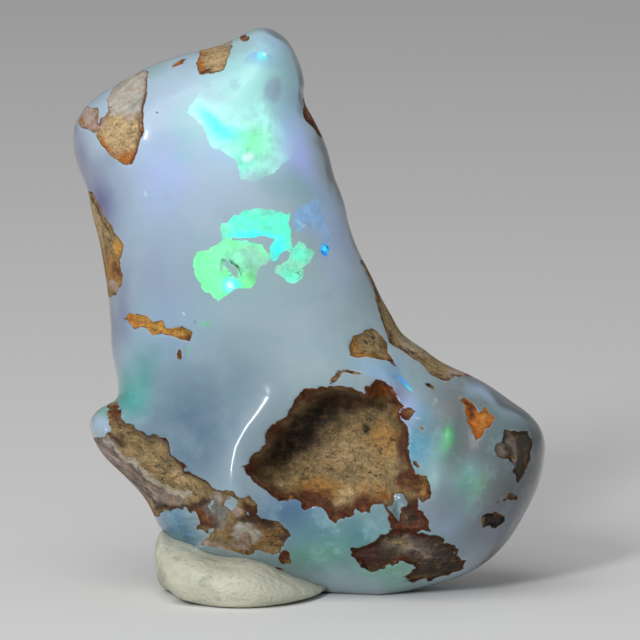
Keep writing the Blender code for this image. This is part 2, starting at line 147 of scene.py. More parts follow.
# Driving dimensions of the putty, in millimetres
PUTTY_CENTRE = (-3.50, -0.25)
PUTTY_REACH = (4.35, 5.95)
PUTTY_LOW_END = 0.80
PUTTY_LOW_AT = 0.4
PUTTY_RISE_PER_MM = 0.36
PUTTY_SIDES = 220
PUTTY_LEVELS = 90
PUTTY_ROUNDS = 6
PUTTY_FLAT_BELOW = 0.004
PUTTY_LUMPS = ((2.4, 0.26),)
PUTTY_LUMP_STARTS = 0.4
PUTTY_LUMP_RISE = 0.5
PUTTY_DENT = 0.62
PUTTY_DENT_SPAN = ((-7.7, 0.9), (-2.2, 2.8))
PUTTY_CREASES = ((1.3, 0.10), (0.6, 0.035), (0.22, 0.012))
PUTTY_TOP_RISE = 1.12
PRESSED_IN = -0.04

# Patchy noise of the materials: cells, detail, roughness, where it starts and is full, least, most
PATCHES = {
    "pore holes": (0.60, 3.0, 0.62, 0.60, 0.67, 0.0, 1.0),
    "porous places": (0.12, 2.0, 0.5, 0.40, 0.54, 0.0, 1.0),
    "rock stain": (1700.0, 4.0, 0.6, 0.54, 0.68, 0.0, 0.30),
    "rusty places": (900.0, 3.0, 0.6, 0.42, 0.58, 0.0, 1.0),
    "dark lip": (1100.0, 2.0, 0.5, 0.40, 0.60, 0.10, 0.70),
    "pale cloud": (300.0, 4.0, 0.55, 0.45, 0.75, 0.0, 0.10),
    "deep veil": (700.0, 3.0, 0.5, 0.42, 0.25, 0.0, 0.10),
    "aqua flecks": (650.0, 4.0, 0.68, 0.50, 0.62, 0.0, 0.34),
    "slate flecks": (480.0, 4.0, 0.68, 0.52, 0.66, 0.0, 0.32),
    "snow flecks": (2600.0, 4.0, 0.68, 0.64, 0.74, 0.0, 0.12),
    "broken rim highlight": (800.0, 2.0, 0.5, 0.50, 0.62, 0.0, 1.0),
    "flash shade": (1500.0, 4.0, 0.65, 0.30, 0.70, 0.78, 1.12),
    "flash shimmer": (4200.0, 3.0, 0.6, 0.54, 0.74, 0.0, 0.14),
    "putty smears": (620.0, 5.0, 0.65, 0.55, 0.68, 0.0, 0.55),
    "putty tone": (260.0, 4.0, 0.6, 0.3, 0.7, 0.86, 1.05),
    "floor speckle": (6.0, 2.0, 0.5, 0.3, 0.7, 0.98, 1.0),
}

# Plain noise of the materials: cells to a metre, detail, roughness
EDGE_NOISE = (7000.0, 3.0, 0.6)
SCUFF_NOISE = (5200.0, 4.0, 0.7)
CREASE_NOISE = (900.0, 6.0, 0.62)

# Mineral grain: whether it runs in layers, cells to a grain, detail, roughness, share of the light
GRAIN_LAYERS = ((False, 0.30, 4.0, 0.62, 1.5), (True, 0.55, 4.0, 0.62, 1.9), (False, 1.5, 3.0, 0.7, 2.5))
LAYER_STRETCH = (0.55, 1.0, 1.3)

# Host rock: its light, then ramps given by where they start and are full, least and most
ROCK_LIGHT = 1.04
ROCK_DARKEST = 0.12
# How dark the pores turn: partly their own dark, partly painted shade in the pits
PORE_SHADE = 0.80
ROCK_SPECKS = (0.15, 0.60, 0.0, 0.16)
RUST_BORDER = (0.42, 0.03, 0.0, 0.26)
DARK_LIP = (0.09, 0.02)

# Milk and flashes: the flecks with their finishes, the painted highlight along the rock, and the hair
# cracks
MILK_FLECKS = (("aqua flecks", "pale_aqua"), ("slate flecks", "slate"), ("snow flecks", "snow"))
# A painted highlight: a pale rim on the opal where it meets the host rock
RIM_HIGHLIGHT = (-0.11, -0.03, 0.0, 0.10)
CRACK_CELLS = 1500.0
CRACK_BEND_CELLS = 1800.0
CRACK_BEND = (0.0006, 0.0006, 0.0006)
CRACK_LINE = (0.050, 0.020, 0.0, 0.85)

# Roughness and fine relief of the finishes, the relief in metres
OPAL_ROUGHNESS = 0.30
ROCK_ROUGHNESS = 0.88
SCUFF_HEIGHT = 0.09
BUMP_STRENGTH = 0.9
STONE_BUMP = 0.00004
PUTTY_BUMP = 0.00030
PUTTY_GRAIN_SIZE = 0.00022
PUTTY_PORES = 0.25
PUTTY_GRAIN_HEIGHT = 0.12

# Lamps: azimuth and elevation in degrees, distance, size across and up
KEY_LAMP = (-21.0, 24.5, 0.45, (0.048, 0.110))
SOFT_LAMP = (-22.0, 55.0, 0.60, (0.50, 0.50))
FLOOR_REACH = 3.0

# The stone's left edge, from the crown down to the middle of the foot
LEFT_EDGE = (
    (-2.4, CROWN_UP), (-2.75, 28.1), (-3.1, 27.88), (-3.6, 27.65), (-4.5, 27.23),
    (-5.75, 26.95), (-7.15, 26.6), (-8.3, 26.1), (-9.65, 25.35), (-10.48, 24.85),
    (-11.1, 24.35), (-11.65, 23.6), (-11.85, 22.7), (-11.7, 21.6), (-11.3, 20.6),
    (-11.05, 20.05), (-10.9, 18.95), (-10.55, 17.75), (-10.25, 16.1), (-10.05, 14.6),
    (-9.95, 13.1), (-9.93, 12.1), (-9.7, 11.1), (-9.58, 10.2), (-9.63, 9.7),
    (-10.0, 9.4), (-10.6, 9.15), (-10.95, 8.7), (-11.03, 8.4), (-10.95, 7.95),
    (-10.8, 7.55), (-10.4, 6.85), (-9.85, 6.3), (-9.2, 5.7), (-8.35, 4.8),
    (-7.9, 4.0), (-7.57, 3.2), (-6.75, 2.35), (-5.5, 1.5), (-3.5, 0.72),
    (-1.5, 0.2), (0.55, -0.08), (3.5, SOLE_UP),
)

# The stone's right edge, from the crown down to the middle of the foot
RIGHT_EDGE = (
    (-2.4, CROWN_UP), (-2.0, 28.1), (-1.5, 27.85), (-1.15, 27.55), (-0.85, 27.1),
    (-0.6, 26.6), (-0.45, 26.2), (-0.3, 25.6), (-0.25, 25.2), (-0.33, 25.0),
    (-0.3, 24.7), (-0.25, 24.35), (0.1, 23.75), (0.5, 23.0), (0.75, 22.45),
    (0.95, 21.85), (1.2, 20.75), (1.5, 20.05), (1.75, 19.35), (2.0, 18.1),
    (2.5, 16.85), (3.05, 15.85), (3.55, 14.7), (4.0, 13.95), (4.5, 13.0),
    (5.05, 12.55), (5.75, 12.1), (6.35, 11.6), (7.1, 11.2), (8.2, 10.75),
    (9.1, 10.25), (10.2, 9.45), (10.95, 8.95), (11.55, 8.25), (11.8, 7.45),
    (11.75, 6.6), (11.55, 5.55), (11.15, 4.6), (10.6, 3.55), (10.0, 2.6),
    (9.3, 1.8), (8.4, 1.12), (7.5, 0.68), (6.5, 0.36), (5.25, 0.04),
    (3.5, SOLE_UP),
)

# The rim of the big rough pit in the lower middle
PIT_RIM = (
    (-3.4, 6.2), (-2.9, 6.75), (-2.35, 7.45), (-2.1, 8.1), (-1.9, 8.4),
    (-1.15, 8.8), (-1.0, 9.35), (-0.6, 9.75), (-0.25, 10.1), (0.6, 10.25),
    (1.65, 10.35), (2.65, 9.95), (2.9, 10.4), (3.4, 10.65), (3.85, 10.5),
    (4.55, 9.6), (4.5, 9.0), (4.85, 8.3), (5.1, 6.4), (5.25, 5.85),
    (5.85, 5.75), (6.1, 5.15), (6.12, 4.6), (5.73, 4.53), (5.4, 4.7), (5.4, 4.2),
    (5.85, 3.95), (6.05, 3.2), (5.0, 3.05), (4.05, 3.15), (3.68, 4.17), (3.23, 4.44),
    (2.96, 4.2), (2.6, 3.75), (2.34, 4.17), (1.98, 3.78), (1.63, 3.85), (1.36, 3.35),
    (1.09, 3.64), (0.91, 3.95), (0.46, 4.08), (0.02, 4.26), (-0.34, 4.08), (-0.7, 4.55),
    (-1.14, 4.65), (-1.5, 4.45), (-1.95, 4.8), (-2.4, 5.25), (-2.85, 5.6),
    (-3.38, 6.05),
)

# The shelf on the left, which lies behind the polished face
LEDGE = (
    (-9.55, 9.6), (-9.35, 8.7), (-8.9, 8.3), (-8.4, 8.0), (-7.65, 7.85),
    (-7.15, 7.7), (-6.9, 7.05), (-6.5, 6.6), (-5.9, 6.1), (-5.35, 5.6),
    (-4.85, 5.2), (-4.1, 5.05), (-3.6, 4.4), (-4.4, 3.1), (-6.0, 1.8),
    (-7.6, 1.4), (-12.5, 5.5), (-12.5, 10.0),
)

# The part of that shelf that is host rock and not opal
LEDGE_ROCK = (
    (-10.15, 9.45), (-9.65, 9.55), (-9.5, 8.9), (-9.2, 8.5), (-8.65, 8.15),
    (-8.05, 7.9), (-7.5, 7.8), (-7.1, 7.55), (-6.9, 6.95), (-6.45, 6.5),
    (-5.85, 6.0), (-5.2, 5.5), (-4.85, 5.2), (-4.1, 5.05), (-4.4, 4.8),
    (-4.85, 4.75), (-5.05, 4.4), (-4.85, 4.0), (-4.85, 3.35), (-5.25, 3.0),
    (-5.65, 3.1), (-5.6, 3.6), (-5.75, 3.95), (-6.25, 4.0), (-6.9, 4.05),
    (-7.5, 3.9), (-7.65, 3.75), (-8.6, 3.9), (-9.9, 5.0), (-11.5, 7.0),
    (-11.6, 7.8), (-10.9, 7.75), (-10.3, 7.8), (-10.0, 8.1), (-10.15, 8.7),
)

# Patches of host rock worn a little lower than the opal round them, front side
CROWN_LEFT_PATCH = (
    (-8.0, 25.95), (-8.13, 24.85), (-8.3, 24.0), (-8.28, 23.1), (-8.5, 22.4),
    (-8.85, 21.35), (-9.5, 21.4), (-10.1, 22.0), (-10.7, 22.75), (-10.55, 23.6),
    (-10.0, 24.0), (-10.1, 24.6), (-9.9, 25.1), (-9.25, 25.65), (-8.5, 26.2),
)
CROWN_TOP_PATCH = (
    (-5.45, 27.2), (-5.65, 26.4), (-5.5, 25.85), (-5.0, 25.85), (-4.35, 26.05),
    (-4.1, 26.55), (-3.9, 27.1), (-3.8, 27.8),
)
LEFT_EDGE_STRIP = (
    (-11.1, 20.1), (-10.85, 19.95), (-10.45, 19.25), (-10.0, 18.4), (-9.75, 17.95),
    (-9.5, 17.7), (-9.32, 17.27), (-9.4, 16.93), (-9.55, 16.6), (-9.33, 15.93),
    (-9.4, 15.43), (-9.67, 14.85), (-10.3, 14.6), (-11.0, 16.6), (-11.5, 19.6),
)
LEFT_STROKE = (
    (-9.35, 13.65), (-9.0, 13.95), (-8.25, 13.9), (-7.9, 13.55), (-7.4, 13.65),
    (-7.2, 13.15), (-6.4, 13.3), (-5.85, 12.95), (-6.0, 12.55), (-7.25, 12.9),
    (-7.9, 12.83), (-8.3, 13.3), (-8.75, 13.15), (-9.15, 13.55),
)
WAIST_PATCH = (
    (1.95, 11.75), (2.0, 12.3), (2.2, 12.75), (2.75, 13.05), (3.2, 13.2),
    (3.75, 12.55), (3.9, 12.0), (4.3, 11.3), (3.75, 11.6), (2.8, 11.75),
)
RIGHT_EDGE_SKIN = (
    (2.55, 16.5), (3.15, 15.35), (3.25, 14.6), (3.55, 13.85), (3.7, 13.2),
    (3.95, 12.35), (4.5, 12.1), (5.1, 11.75), (5.75, 11.2), (6.3, 10.7),
    (6.8, 10.5), (7.35, 10.85), (8.2, 10.75), (8.6, 11.3), (6.5, 12.8),
    (4.6, 14.6), (3.3, 17.0),
)
UPPER_EDGE_SKIN = (
    (-0.35, 24.6), (-0.35, 23.7), (0.0, 23.4), (0.25, 23.0), (0.5, 22.7),
    (1.1, 22.8), (0.0, 24.9),
)
HEART_PATCH = (
    (7.45, 9.75), (7.95, 9.72), (8.15, 9.25), (8.45, 9.0), (8.85, 9.25), (9.12, 8.75),
    (9.0, 8.25), (8.35, 7.55), (7.98, 7.95), (7.8, 8.8),
)
HEEL_PATCH = (
    (9.35, 7.4), (9.95, 8.15), (10.85, 8.1), (11.1, 7.7), (11.05, 6.65),
    (10.8, 6.1), (10.45, 5.4), (10.05, 6.4), (9.4, 6.7),
)
LOWER_RIGHT_PATCH = (
    (2.15, 2.2), (3.1, 2.5), (4.05, 3.15), (5.0, 3.15), (6.0, 2.95),
    (7.4, 2.3), (7.3, 1.8), (7.8, 1.55), (7.6, 1.05), (6.45, 0.65),
    (5.3, 0.4), (4.75, 0.6), (5.3, 1.15), (4.45, 1.55), (3.1, 0.85),
    (2.2, 1.8),
)
LOWER_LEFT_PATCH = (
    (-4.85, 4.75), (-4.1, 5.05), (-3.25, 4.55), (-3.15, 3.8), (-1.6, 3.55),
    (-0.95, 2.8), (-1.5, 2.0), (-3.4, 1.95), (-5.65, 2.4), (-4.85, 3.1),
)
CROWN_SPLASH = (
    (-11.55, 23.55), (-11.35, 23.95), (-11.1, 24.2), (-10.65, 24.2), (-10.5, 24.0),
    (-10.65, 23.5), (-10.45, 23.1), (-10.65, 22.9), (-11.1, 23.05), (-11.4, 23.2),
)

# Each front patch with the depth it is worn down to, in millimetres
FRONT_PATCHES = (
    (CROWN_LEFT_PATCH, 0.28), (CROWN_TOP_PATCH, 0.22), (LEFT_EDGE_STRIP, 0.25),
    (LEFT_STROKE, 0.2), (WAIST_PATCH, 0.28), (RIGHT_EDGE_SKIN, 0.35),
    (UPPER_EDGE_SKIN, 0.25), (HEART_PATCH, 0.15), (HEEL_PATCH, 0.18),
    (LOWER_RIGHT_PATCH, 0.4), (LOWER_LEFT_PATCH, 0.22), (CROWN_SPLASH, 0.06),
)

# Windows of opal left open inside the host rock
ROCK_WINDOWS = (
    ((4.25, 5.0), (4.6, 5.0), (4.9, 4.6), (4.75, 4.3), (4.45, 4.05), (4.4, 3.55),
     (4.1, 3.75), (3.8, 4.1), (4.05, 4.45), (4.2, 4.75)),
    ((-4.3, 4.2), (-4.0, 4.75), (-3.6, 4.55), (-3.9, 3.9)),
)

# Rusty bands along the rim of the pit: width, strength, finish
PIT_RUST = ((0.38, 0.8, "rust"), (0.14, 0.7, "dark_red"))

# Small spots of host rock: across, up, reach across, reach up, turn in degrees
ROCK_SPOTS = (
    (-6.5, 26.4, 0.4, 0.12, 22), (-3.28, 27.62, 0.2, 0.2, 0),
    (-7.6, 23.95, 0.08, 0.06, 0), (-6.5, 11.9, 0.13, 0.3, 0),
    (1.32, 10.74, 0.52, 0.13, 40), (2.15, 10.98, 0.5, 0.09, -6),
    (4.93, 8.95, 0.3, 0.4, 20), (5.1, 9.15, 0.12, 0.14, 0), (5.7, 8.15, 0.12, 0.13, 0),
    (5.38, 6.4, 0.12, 0.24, 30), (5.95, 10.3, 0.24, 0.12, -35),
    (10.1, 4.68, 0.34, 0.22, 15), (9.35, 4.5, 0.1, 0.08, 0),
    (9.2, 3.58, 0.58, 0.38, 8), (-1.15, 1.65, 0.3, 0.36, 10),
    (-1.55, 1.1, 0.3, 0.1, -10), (-2.95, 4.2, 0.28, 0.52, 25),
)

# Windows of opal in the rough skin of the back: across, up, reach across, reach up, turn
BACK_WINDOWS = (
    (-6.0, 22.6, 3.4, 2.6, 25), (-2.6, 24.4, 1.6, 2.0, 15), (-7.9, 17.9, 1.7, 0.9, 70),
    (-1.2, 15.6, 2.6, 3.4, 20), (-4.6, 13.4, 2.0, 1.1, -30), (6.4, 6.3, 3.9, 2.9, -25),
    (3.0, 4.6, 2.4, 1.2, -10), (-6.2, 6.9, 2.7, 1.9, 30), (-3.2, 4.6, 1.4, 0.6, -20),
    (2.6, 10.4, 1.3, 0.7, 40),
)

# Islands of rock left standing in those windows
BACK_ISLANDS = (
    (-5.4, 22.1, 0.55, 0.3, 20), (-7.4, 23.4, 0.25, 0.4, 0), (-0.5, 14.2, 0.3, 0.6, -15),
    (7.2, 5.6, 0.7, 0.3, 10), (5.1, 7.3, 0.35, 0.3, 0), (-6.0, 6.3, 0.35, 0.25, 30),
)

# Flashes of colour on the back: across, up, reach across, reach up, turn, finish, strength
BACK_FLASHES = (
    (-6.9, 22.6, 1.5, 0.8, 35, "bright_green", 0.85), (-4.5, 23.2, 0.8, 0.5, -20, "cyan", 0.75),
    (-1.2, 16.3, 0.9, 1.1, 15, "aqua_green", 0.8), (-0.9, 13.6, 0.6, 0.5, 0, "sky", 0.7),
    (7.0, 7.0, 1.4, 0.7, -20, "soft_green", 0.8), (4.6, 5.7, 0.7, 0.5, 10, "electric", 0.45),
    (-6.9, 7.4, 0.9, 0.5, 30, "aqua_green", 0.55),
)

# Milk of the back's windows, given as the front's marks are
BACK_MARKS = (
    (-5.6, 22.8, 5.5, 4.5, 0, 1.0, 0.8, "pale_lavender"),
    (-1.0, 15.4, 3.4, 4.4, 0, 1.0, 0.8, "sage"),
    (-0.4, 14.0, 1.8, 2.0, 0, 1.0, 0.7, "sky"),
    (6.2, 6.4, 5.0, 3.8, 0, 1.0, 0.9, "ocean"),
    (7.6, 5.2, 2.4, 1.6, 0, 1.0, 0.6, "meadow"),
    (-6.6, 6.8, 3.4, 2.8, 0, 1.0, 0.9, "lagoon"),
)

# Broad swellings of the front: across, up, reach across, reach up, height
FRONT_SWELLINGS = (
    (-4.0, 21.0, 4.6, 2.6, 0.38),
    (-2.2, 26.4, 1.9, 1.4, 0.42),
    (-4.4, 14.2, 4.4, 2.6, 0.3),
    (7.0, 6.2, 3.8, 3.6, 0.6),
    (1.2, 1.9, 3.6, 1.2, 0.3),
    (-9.6, 8.3, 1.6, 0.9, 0.55),
    (7.7, 7.9, 0.8, 1.7, -0.42),
    (-8.8, 23.0, 1.8, 2.4, 0.5),
    (-3.9, 4.3, 1.8, 2.4, 0.9),
    (6.4, 5.45, 0.26, 0.75, 0.1),
)

# Broad swellings and hollows of the back
BACK_SWELLINGS = (
    (-5.0, 22.5, 3.2, 2.6, 0.45),
    (-1.0, 15.0, 3.0, 3.4, 0.4),
    (6.2, 6.2, 3.6, 3.2, 0.5),
    (-2.2, 9.2, 2.4, 2.6, -0.85),
    (-7.6, 17.2, 1.6, 2.4, -0.4),
    (2.2, 3.6, 2.4, 1.3, -0.45),
)

# The crest between the left face and the pit
FRONT_CREST = ((-1.95, 9.75), (-2.35, 9.2), (-3.1, 8.2), (-3.65, 7.2), (-3.95, 6.2), (-4.05, 5.2))
CREST_HEIGHT = 0.5
CREST_REACH = 1.05
CREST_SPAN = ((3.4, 1.2), (12.0, 4.4))
FACE_TILT = 0.17
FACE_SPAN = ((3.4, 1.6), (13.8, 5.2))
FACE_ROUNDING = 0.3

# The smooth roll along the lower left, outside the sandy shelf
SHELF_ROLL = ((-10.9, 7.9), (-10.4, 7.0), (-9.7, 6.2), (-8.9, 5.5), (-8.2, 4.8), (-7.6, 4.3))
ROLL_HEIGHT = 0.4
ROLL_REACH = 0.5

# Rings of the putty from its flat base to its top: reach across, reach along, rise
PUTTY_RINGS = (
    (0.42, 0.5, 0.0), (0.72, 0.86, 0.0), (0.8, 0.925, 0.035), (0.9, 0.965, 0.14),
    (0.97, 0.99, 0.28), (1.0, 1.0, 0.46), (0.985, 0.98, 0.66), (0.93, 0.93, 0.84),
    (0.82, 0.84, 0.96), (0.62, 0.66, 1.04), (0.34, 0.38, 1.1),
)

# Finishes by name: red, green and blue on a screen, then how much the flecks or grain show
PALETTE = {
    "mist": (0.6, 0.685, 0.72, 0.1),
    "pale_lavender": (0.7, 0.79, 0.88, 0.1),
    "lavender": (0.6, 0.69, 0.79, 0.1),
    "dusk": (0.48, 0.48, 0.6, 0.15),
    "violet": (0.4, 0.41, 0.6, 0.1),
    "deep_violet": (0.29, 0.28, 0.46, 0.1),
    "periwinkle": (0.66, 0.75, 0.92, 0.1),
    "smoke": (0.58, 0.65, 0.69, 0.1),
    "slate": (0.345, 0.455, 0.54, 0.2),
    "sky": (0.48, 0.66, 0.84, 0.4),
    "teal": (0.22, 0.62, 0.58, 0.5),
    "lilac": (0.7, 0.76, 1.0, 0.1),
    "deep_blue": (0.31, 0.48, 0.6, 0.6),
    "ocean": (0.33, 0.44, 0.58, 0.8),
    "lagoon": (0.3, 0.6, 0.72, 0.8),
    "sea_green": (0.2, 0.475, 0.49, 1.0),
    "meadow": (0.34, 0.62, 0.49, 1.0),
    "sage": (0.52, 0.7, 0.69, 0.6),
    "pale_aqua": (0.6, 0.8, 0.82, 0.6),
    "leaf": (0.42, 0.78, 0.5, 1.0),
    "moss": (0.42, 0.46, 0.34, 1.0),
    "foot_grey": (0.375, 0.44, 0.455, 0.5),
    "driftwood": (0.15, 0.13, 0.11, 0.1),
    "charcoal": (0.44, 0.455, 0.45, 0.3),
    "snow": (0.9, 0.92, 0.93, 0.3),
    "aqua_green": (0.38, 0.95, 0.8, 1.0),
    "cyan": (0.26, 0.98, 0.98, 1.0),
    "bright_green": (0.48, 0.97, 0.66, 1.0),
    "soft_green": (0.52, 0.85, 0.72, 1.0),
    "electric": (0.1, 0.6, 0.98, 1.0),
    "ice": (0.66, 0.93, 0.9, 1.0),
    "glow": (0.86, 1.0, 0.98, 1.0),
    "sand": (0.7, 0.6, 0.44, 1.0),
    "tan": (0.545, 0.463, 0.315, 1.0),
    "ochre": (0.62, 0.45, 0.22, 0.9),
    "orange": (0.66, 0.37, 0.11, 0.7),
    "rust": (0.36, 0.175, 0.09, 0.8),
    "dark_red": (0.24, 0.11, 0.08, 0.7),
    "umber": (0.25, 0.19, 0.14, 0.9),
    "gold": (0.76, 0.57, 0.28, 0.8),
    "blush": (0.68, 0.61, 0.58, 0.35),
    "mauve": (0.48, 0.43, 0.4, 0.45),
    "honey": (0.46, 0.34, 0.18, 1.0),
    # Near black: real black specks, and painted shade in the pores and in the pit
    "black_specks_and_shade": (0.08, 0.06, 0.05, 0.8),
    "ash": (0.69, 0.67, 0.63, 0.45),
    "grey_crust": (0.46, 0.48, 0.47, 0.35),
    "shell": (0.66, 0.59, 0.56, 0.3),
    "olive": (0.36, 0.33, 0.22, 1.0),
}

# Marks: across, up, reach across, reach up, turn in degrees, softness, strength, finish
MILKY_MARKS = (
    (-5.6, 22.8, 9.5, 8.5, 0, 1.0, 0.95, "pale_lavender"),
    (-7.6, 17.4, 5.0, 6.0, 0, 1.0, 0.6, "lavender"),
    (-10.9, 19.8, 2.1, 3.4, 12, 1.0, 1.0, "violet"),
    (-11.8, 22.0, 1.7, 3.2, 0, 1.0, 0.9, "dusk"),
    (-0.9, 22.8, 1.9, 4.2, 0, 1.0, 0.95, "periwinkle"),
    (-0.9, 23.2, 1.3, 3.0, 6, 1.0, 0.9, "lilac"),
    (0.9, 18.2, 2.2, 4.6, 20, 1.0, 0.7, "periwinkle"),
    (2.7, 14.4, 2.8, 4.6, 22, 1.0, 0.45, "smoke"),
    (-7.2, 12.6, 4.0, 4.2, 0, 1.0, 0.35, "sky"),
    (-6.0, 8.0, 6.8, 5.4, 35, 1.0, 1.0, "slate"),
    (-8.9, 10.0, 1.5, 2.6, -12, 1.0, 0.9, "teal"),
    (-10.2, 13.6, 1.4, 3.8, 0, 1.0, 1.0, "violet"),
    (-10.2, 13.2, 1.3, 3.6, 0, 1.0, 1.0, "deep_violet"),
    (-11.3, 19.8, 1.3, 3.2, 12, 1.0, 1.0, "deep_violet"),
    (-7.6, 15.6, 4.2, 4.0, 0, 1.0, 0.3, "dusk"),
    (-2.2, 8.9, 2.0, 4.2, -35, 1.0, 0.6, "smoke"),
    (2.0, 8.0, 6.0, 4.6, 0, 1.0, 0.7, "foot_grey"),
    (8.4, 6.6, 7.0, 8.0, 0, 1.0, 0.95, "foot_grey"),
    (-0.6, 4.3, 4.2, 2.4, 15, 1.0, 1.0, "ocean"),
    (2.4, 2.8, 6.0, 3.0, 0, 1.0, 0.9, "sea_green"),
    (0.7, 2.1, 2.8, 1.2, 10, 1.0, 0.6, "meadow"),
    (3.9, 0.9, 3.0, 1.1, 0, 1.0, 0.8, "meadow"),
    # The two charcoal marks grey the hollow in the foot: painted shade in the dimple
    (7.7, 8.7, 1.7, 4.2, 14, 1.0, 0.85, "charcoal"),
    (7.4, 6.7, 0.9, 1.9, -30, 1.0, 0.6, "charcoal"),
    (6.95, 7.6, 0.9, 1.8, -14, 1.0, 0.45, "meadow"),
    (6.95, 7.75, 0.4, 1.0, -14, 0.95, 0.9, "leaf"),
    (6.92, 7.95, 0.16, 0.45, -14, 0.95, 0.75, "bright_green"),
    (5.5, 7.4, 0.9, 1.9, 0, 1.0, 0.85, "lagoon"),
    (5.9, 9.2, 1.3, 0.9, -40, 1.0, 0.55, "lagoon"),
    (4.2, 10.1, 1.8, 1.1, -25, 1.0, 0.85, "dusk"),
    (8.6, 10.0, 1.2, 0.7, -32, 1.0, 0.55, "periwinkle"),
    (3.6, 11.2, 2.4, 0.9, -20, 1.0, 0.6, "sky"),
    (4.5, 11.0, 1.5, 0.45, -42, 1.0, 0.7, "ocean"),
    (5.0, 10.72, 0.72, 0.2, -40, 0.8, 0.9, "electric"),
    (5.22, 10.5, 0.4, 0.11, -40, 0.6, 0.7, "cyan"),
    (7.8, 5.4, 1.9, 1.6, 20, 1.0, 0.6, "sage"),
    (6.3, 6.4, 0.9, 2.6, -12, 1.0, 0.45, "pale_aqua"),
    (5.2, 9.3, 1.0, 1.8, -20, 1.0, 0.6, "periwinkle"),
    (6.1, 7.4, 0.5, 1.4, -10, 1.0, 0.5, "lagoon"),
    (8.2, 5.0, 0.6, 1.2, -25, 1.0, 0.45, "leaf"),
    (7.5, 5.2, 0.7, 0.9, -20, 1.0, 0.6, "meadow"),
    (6.2, 4.2, 1.1, 1.6, -25, 1.0, 0.45, "dusk"),
    (7.4, 3.6, 1.8, 0.8, 20, 1.0, 0.4, "lavender"),
    (9.0, 4.6, 1.4, 2.6, -10, 1.0, 0.6, "moss"),
    # The dusk mark below and the last two driftwood marks darken the foot's lower right: painted shade
    # where it turns from the light
    (10.2, 3.2, 4.4, 5.0, 20, 1.0, 0.4, "dusk"),
    (10.0, 4.4, 1.7, 2.4, -20, 1.0, 0.45, "driftwood"),
    (12.6, 5.6, 3.8, 7.4, -6, 0.9, 1.0, "driftwood"),
    (10.9, 1.3, 4.9, 2.4, 42, 0.9, 1.0, "driftwood"),
    (9.4, 9.6, 2.6, 0.9, -32, 1.0, 0.5, "lavender"),
    (-10.6, 9.2, 1.1, 1.0, 0, 1.0, 0.9, "meadow"),
    (-10.7, 8.1, 1.0, 0.8, 0, 1.0, 0.8, "lavender"),
    (-6.6, 3.0, 2.0, 1.8, -30, 0.8, 1.0, "deep_blue"),
    (-2.0, 27.0, 2.4, 1.7, 0, 1.0, 0.8, "periwinkle"),
    (-7.6, 26.2, 1.2, 0.6, 25, 1.0, 0.6, "sage"),
    (-6.4, 23.2, 1.4, 1.9, 0, 0.8, 0.55, "pale_aqua"),
    (-6.7, 21.5, 0.75, 0.6, 20, 0.6, 0.55, "pale_aqua"),
    (-4.2, 22.0, 1.8, 1.1, 0, 0.9, 0.6, "periwinkle"),
    (-7.6, 20.6, 2.6, 2.6, 0, 1.0, 0.4, "lilac"),
    (-0.2, 21.8, 1.0, 3.6, 14, 1.0, 0.8, "lilac"),
    (-0.8, 20.1, 3.0, 1.8, -20, 1.0, 0.6, "sage"),
    (-3.0, 24.6, 4.2, 4.6, -20, 1.0, 0.85, "ice"),
    (-1.75, 25.1, 0.6, 0.75, 0, 0.5, 0.7, "lavender"),
    (-3.2, 16.4, 4.4, 3.4, 0, 1.0, 0.3, "sage"),
    (-5.3, 13.35, 0.62, 0.3, -15, 0.7, 0.7, "sage"),
    (-5.25, 13.4, 0.34, 0.16, -25, 0.6, 0.7, "leaf"),
    (-5.75, 13.45, 0.1, 0.1, 0, 0.5, 0.8, "driftwood"),
    (-6.18, 12.0, 0.12, 0.4, -8, 0.6, 0.7, "leaf"),
    (-8.4, 19.7, 0.16, 0.1, 0, 0.8, 0.8, "glow"),
    (-6.4, 13.8, 0.12, 0.08, 20, 0.7, 0.8, "snow"),
    (6.55, 9.8, 0.32, 0.05, 75, 0.6, 0.45, "snow"),
    (5.8, 9.05, 0.3, 0.05, 10, 0.6, 0.3, "snow"),
)

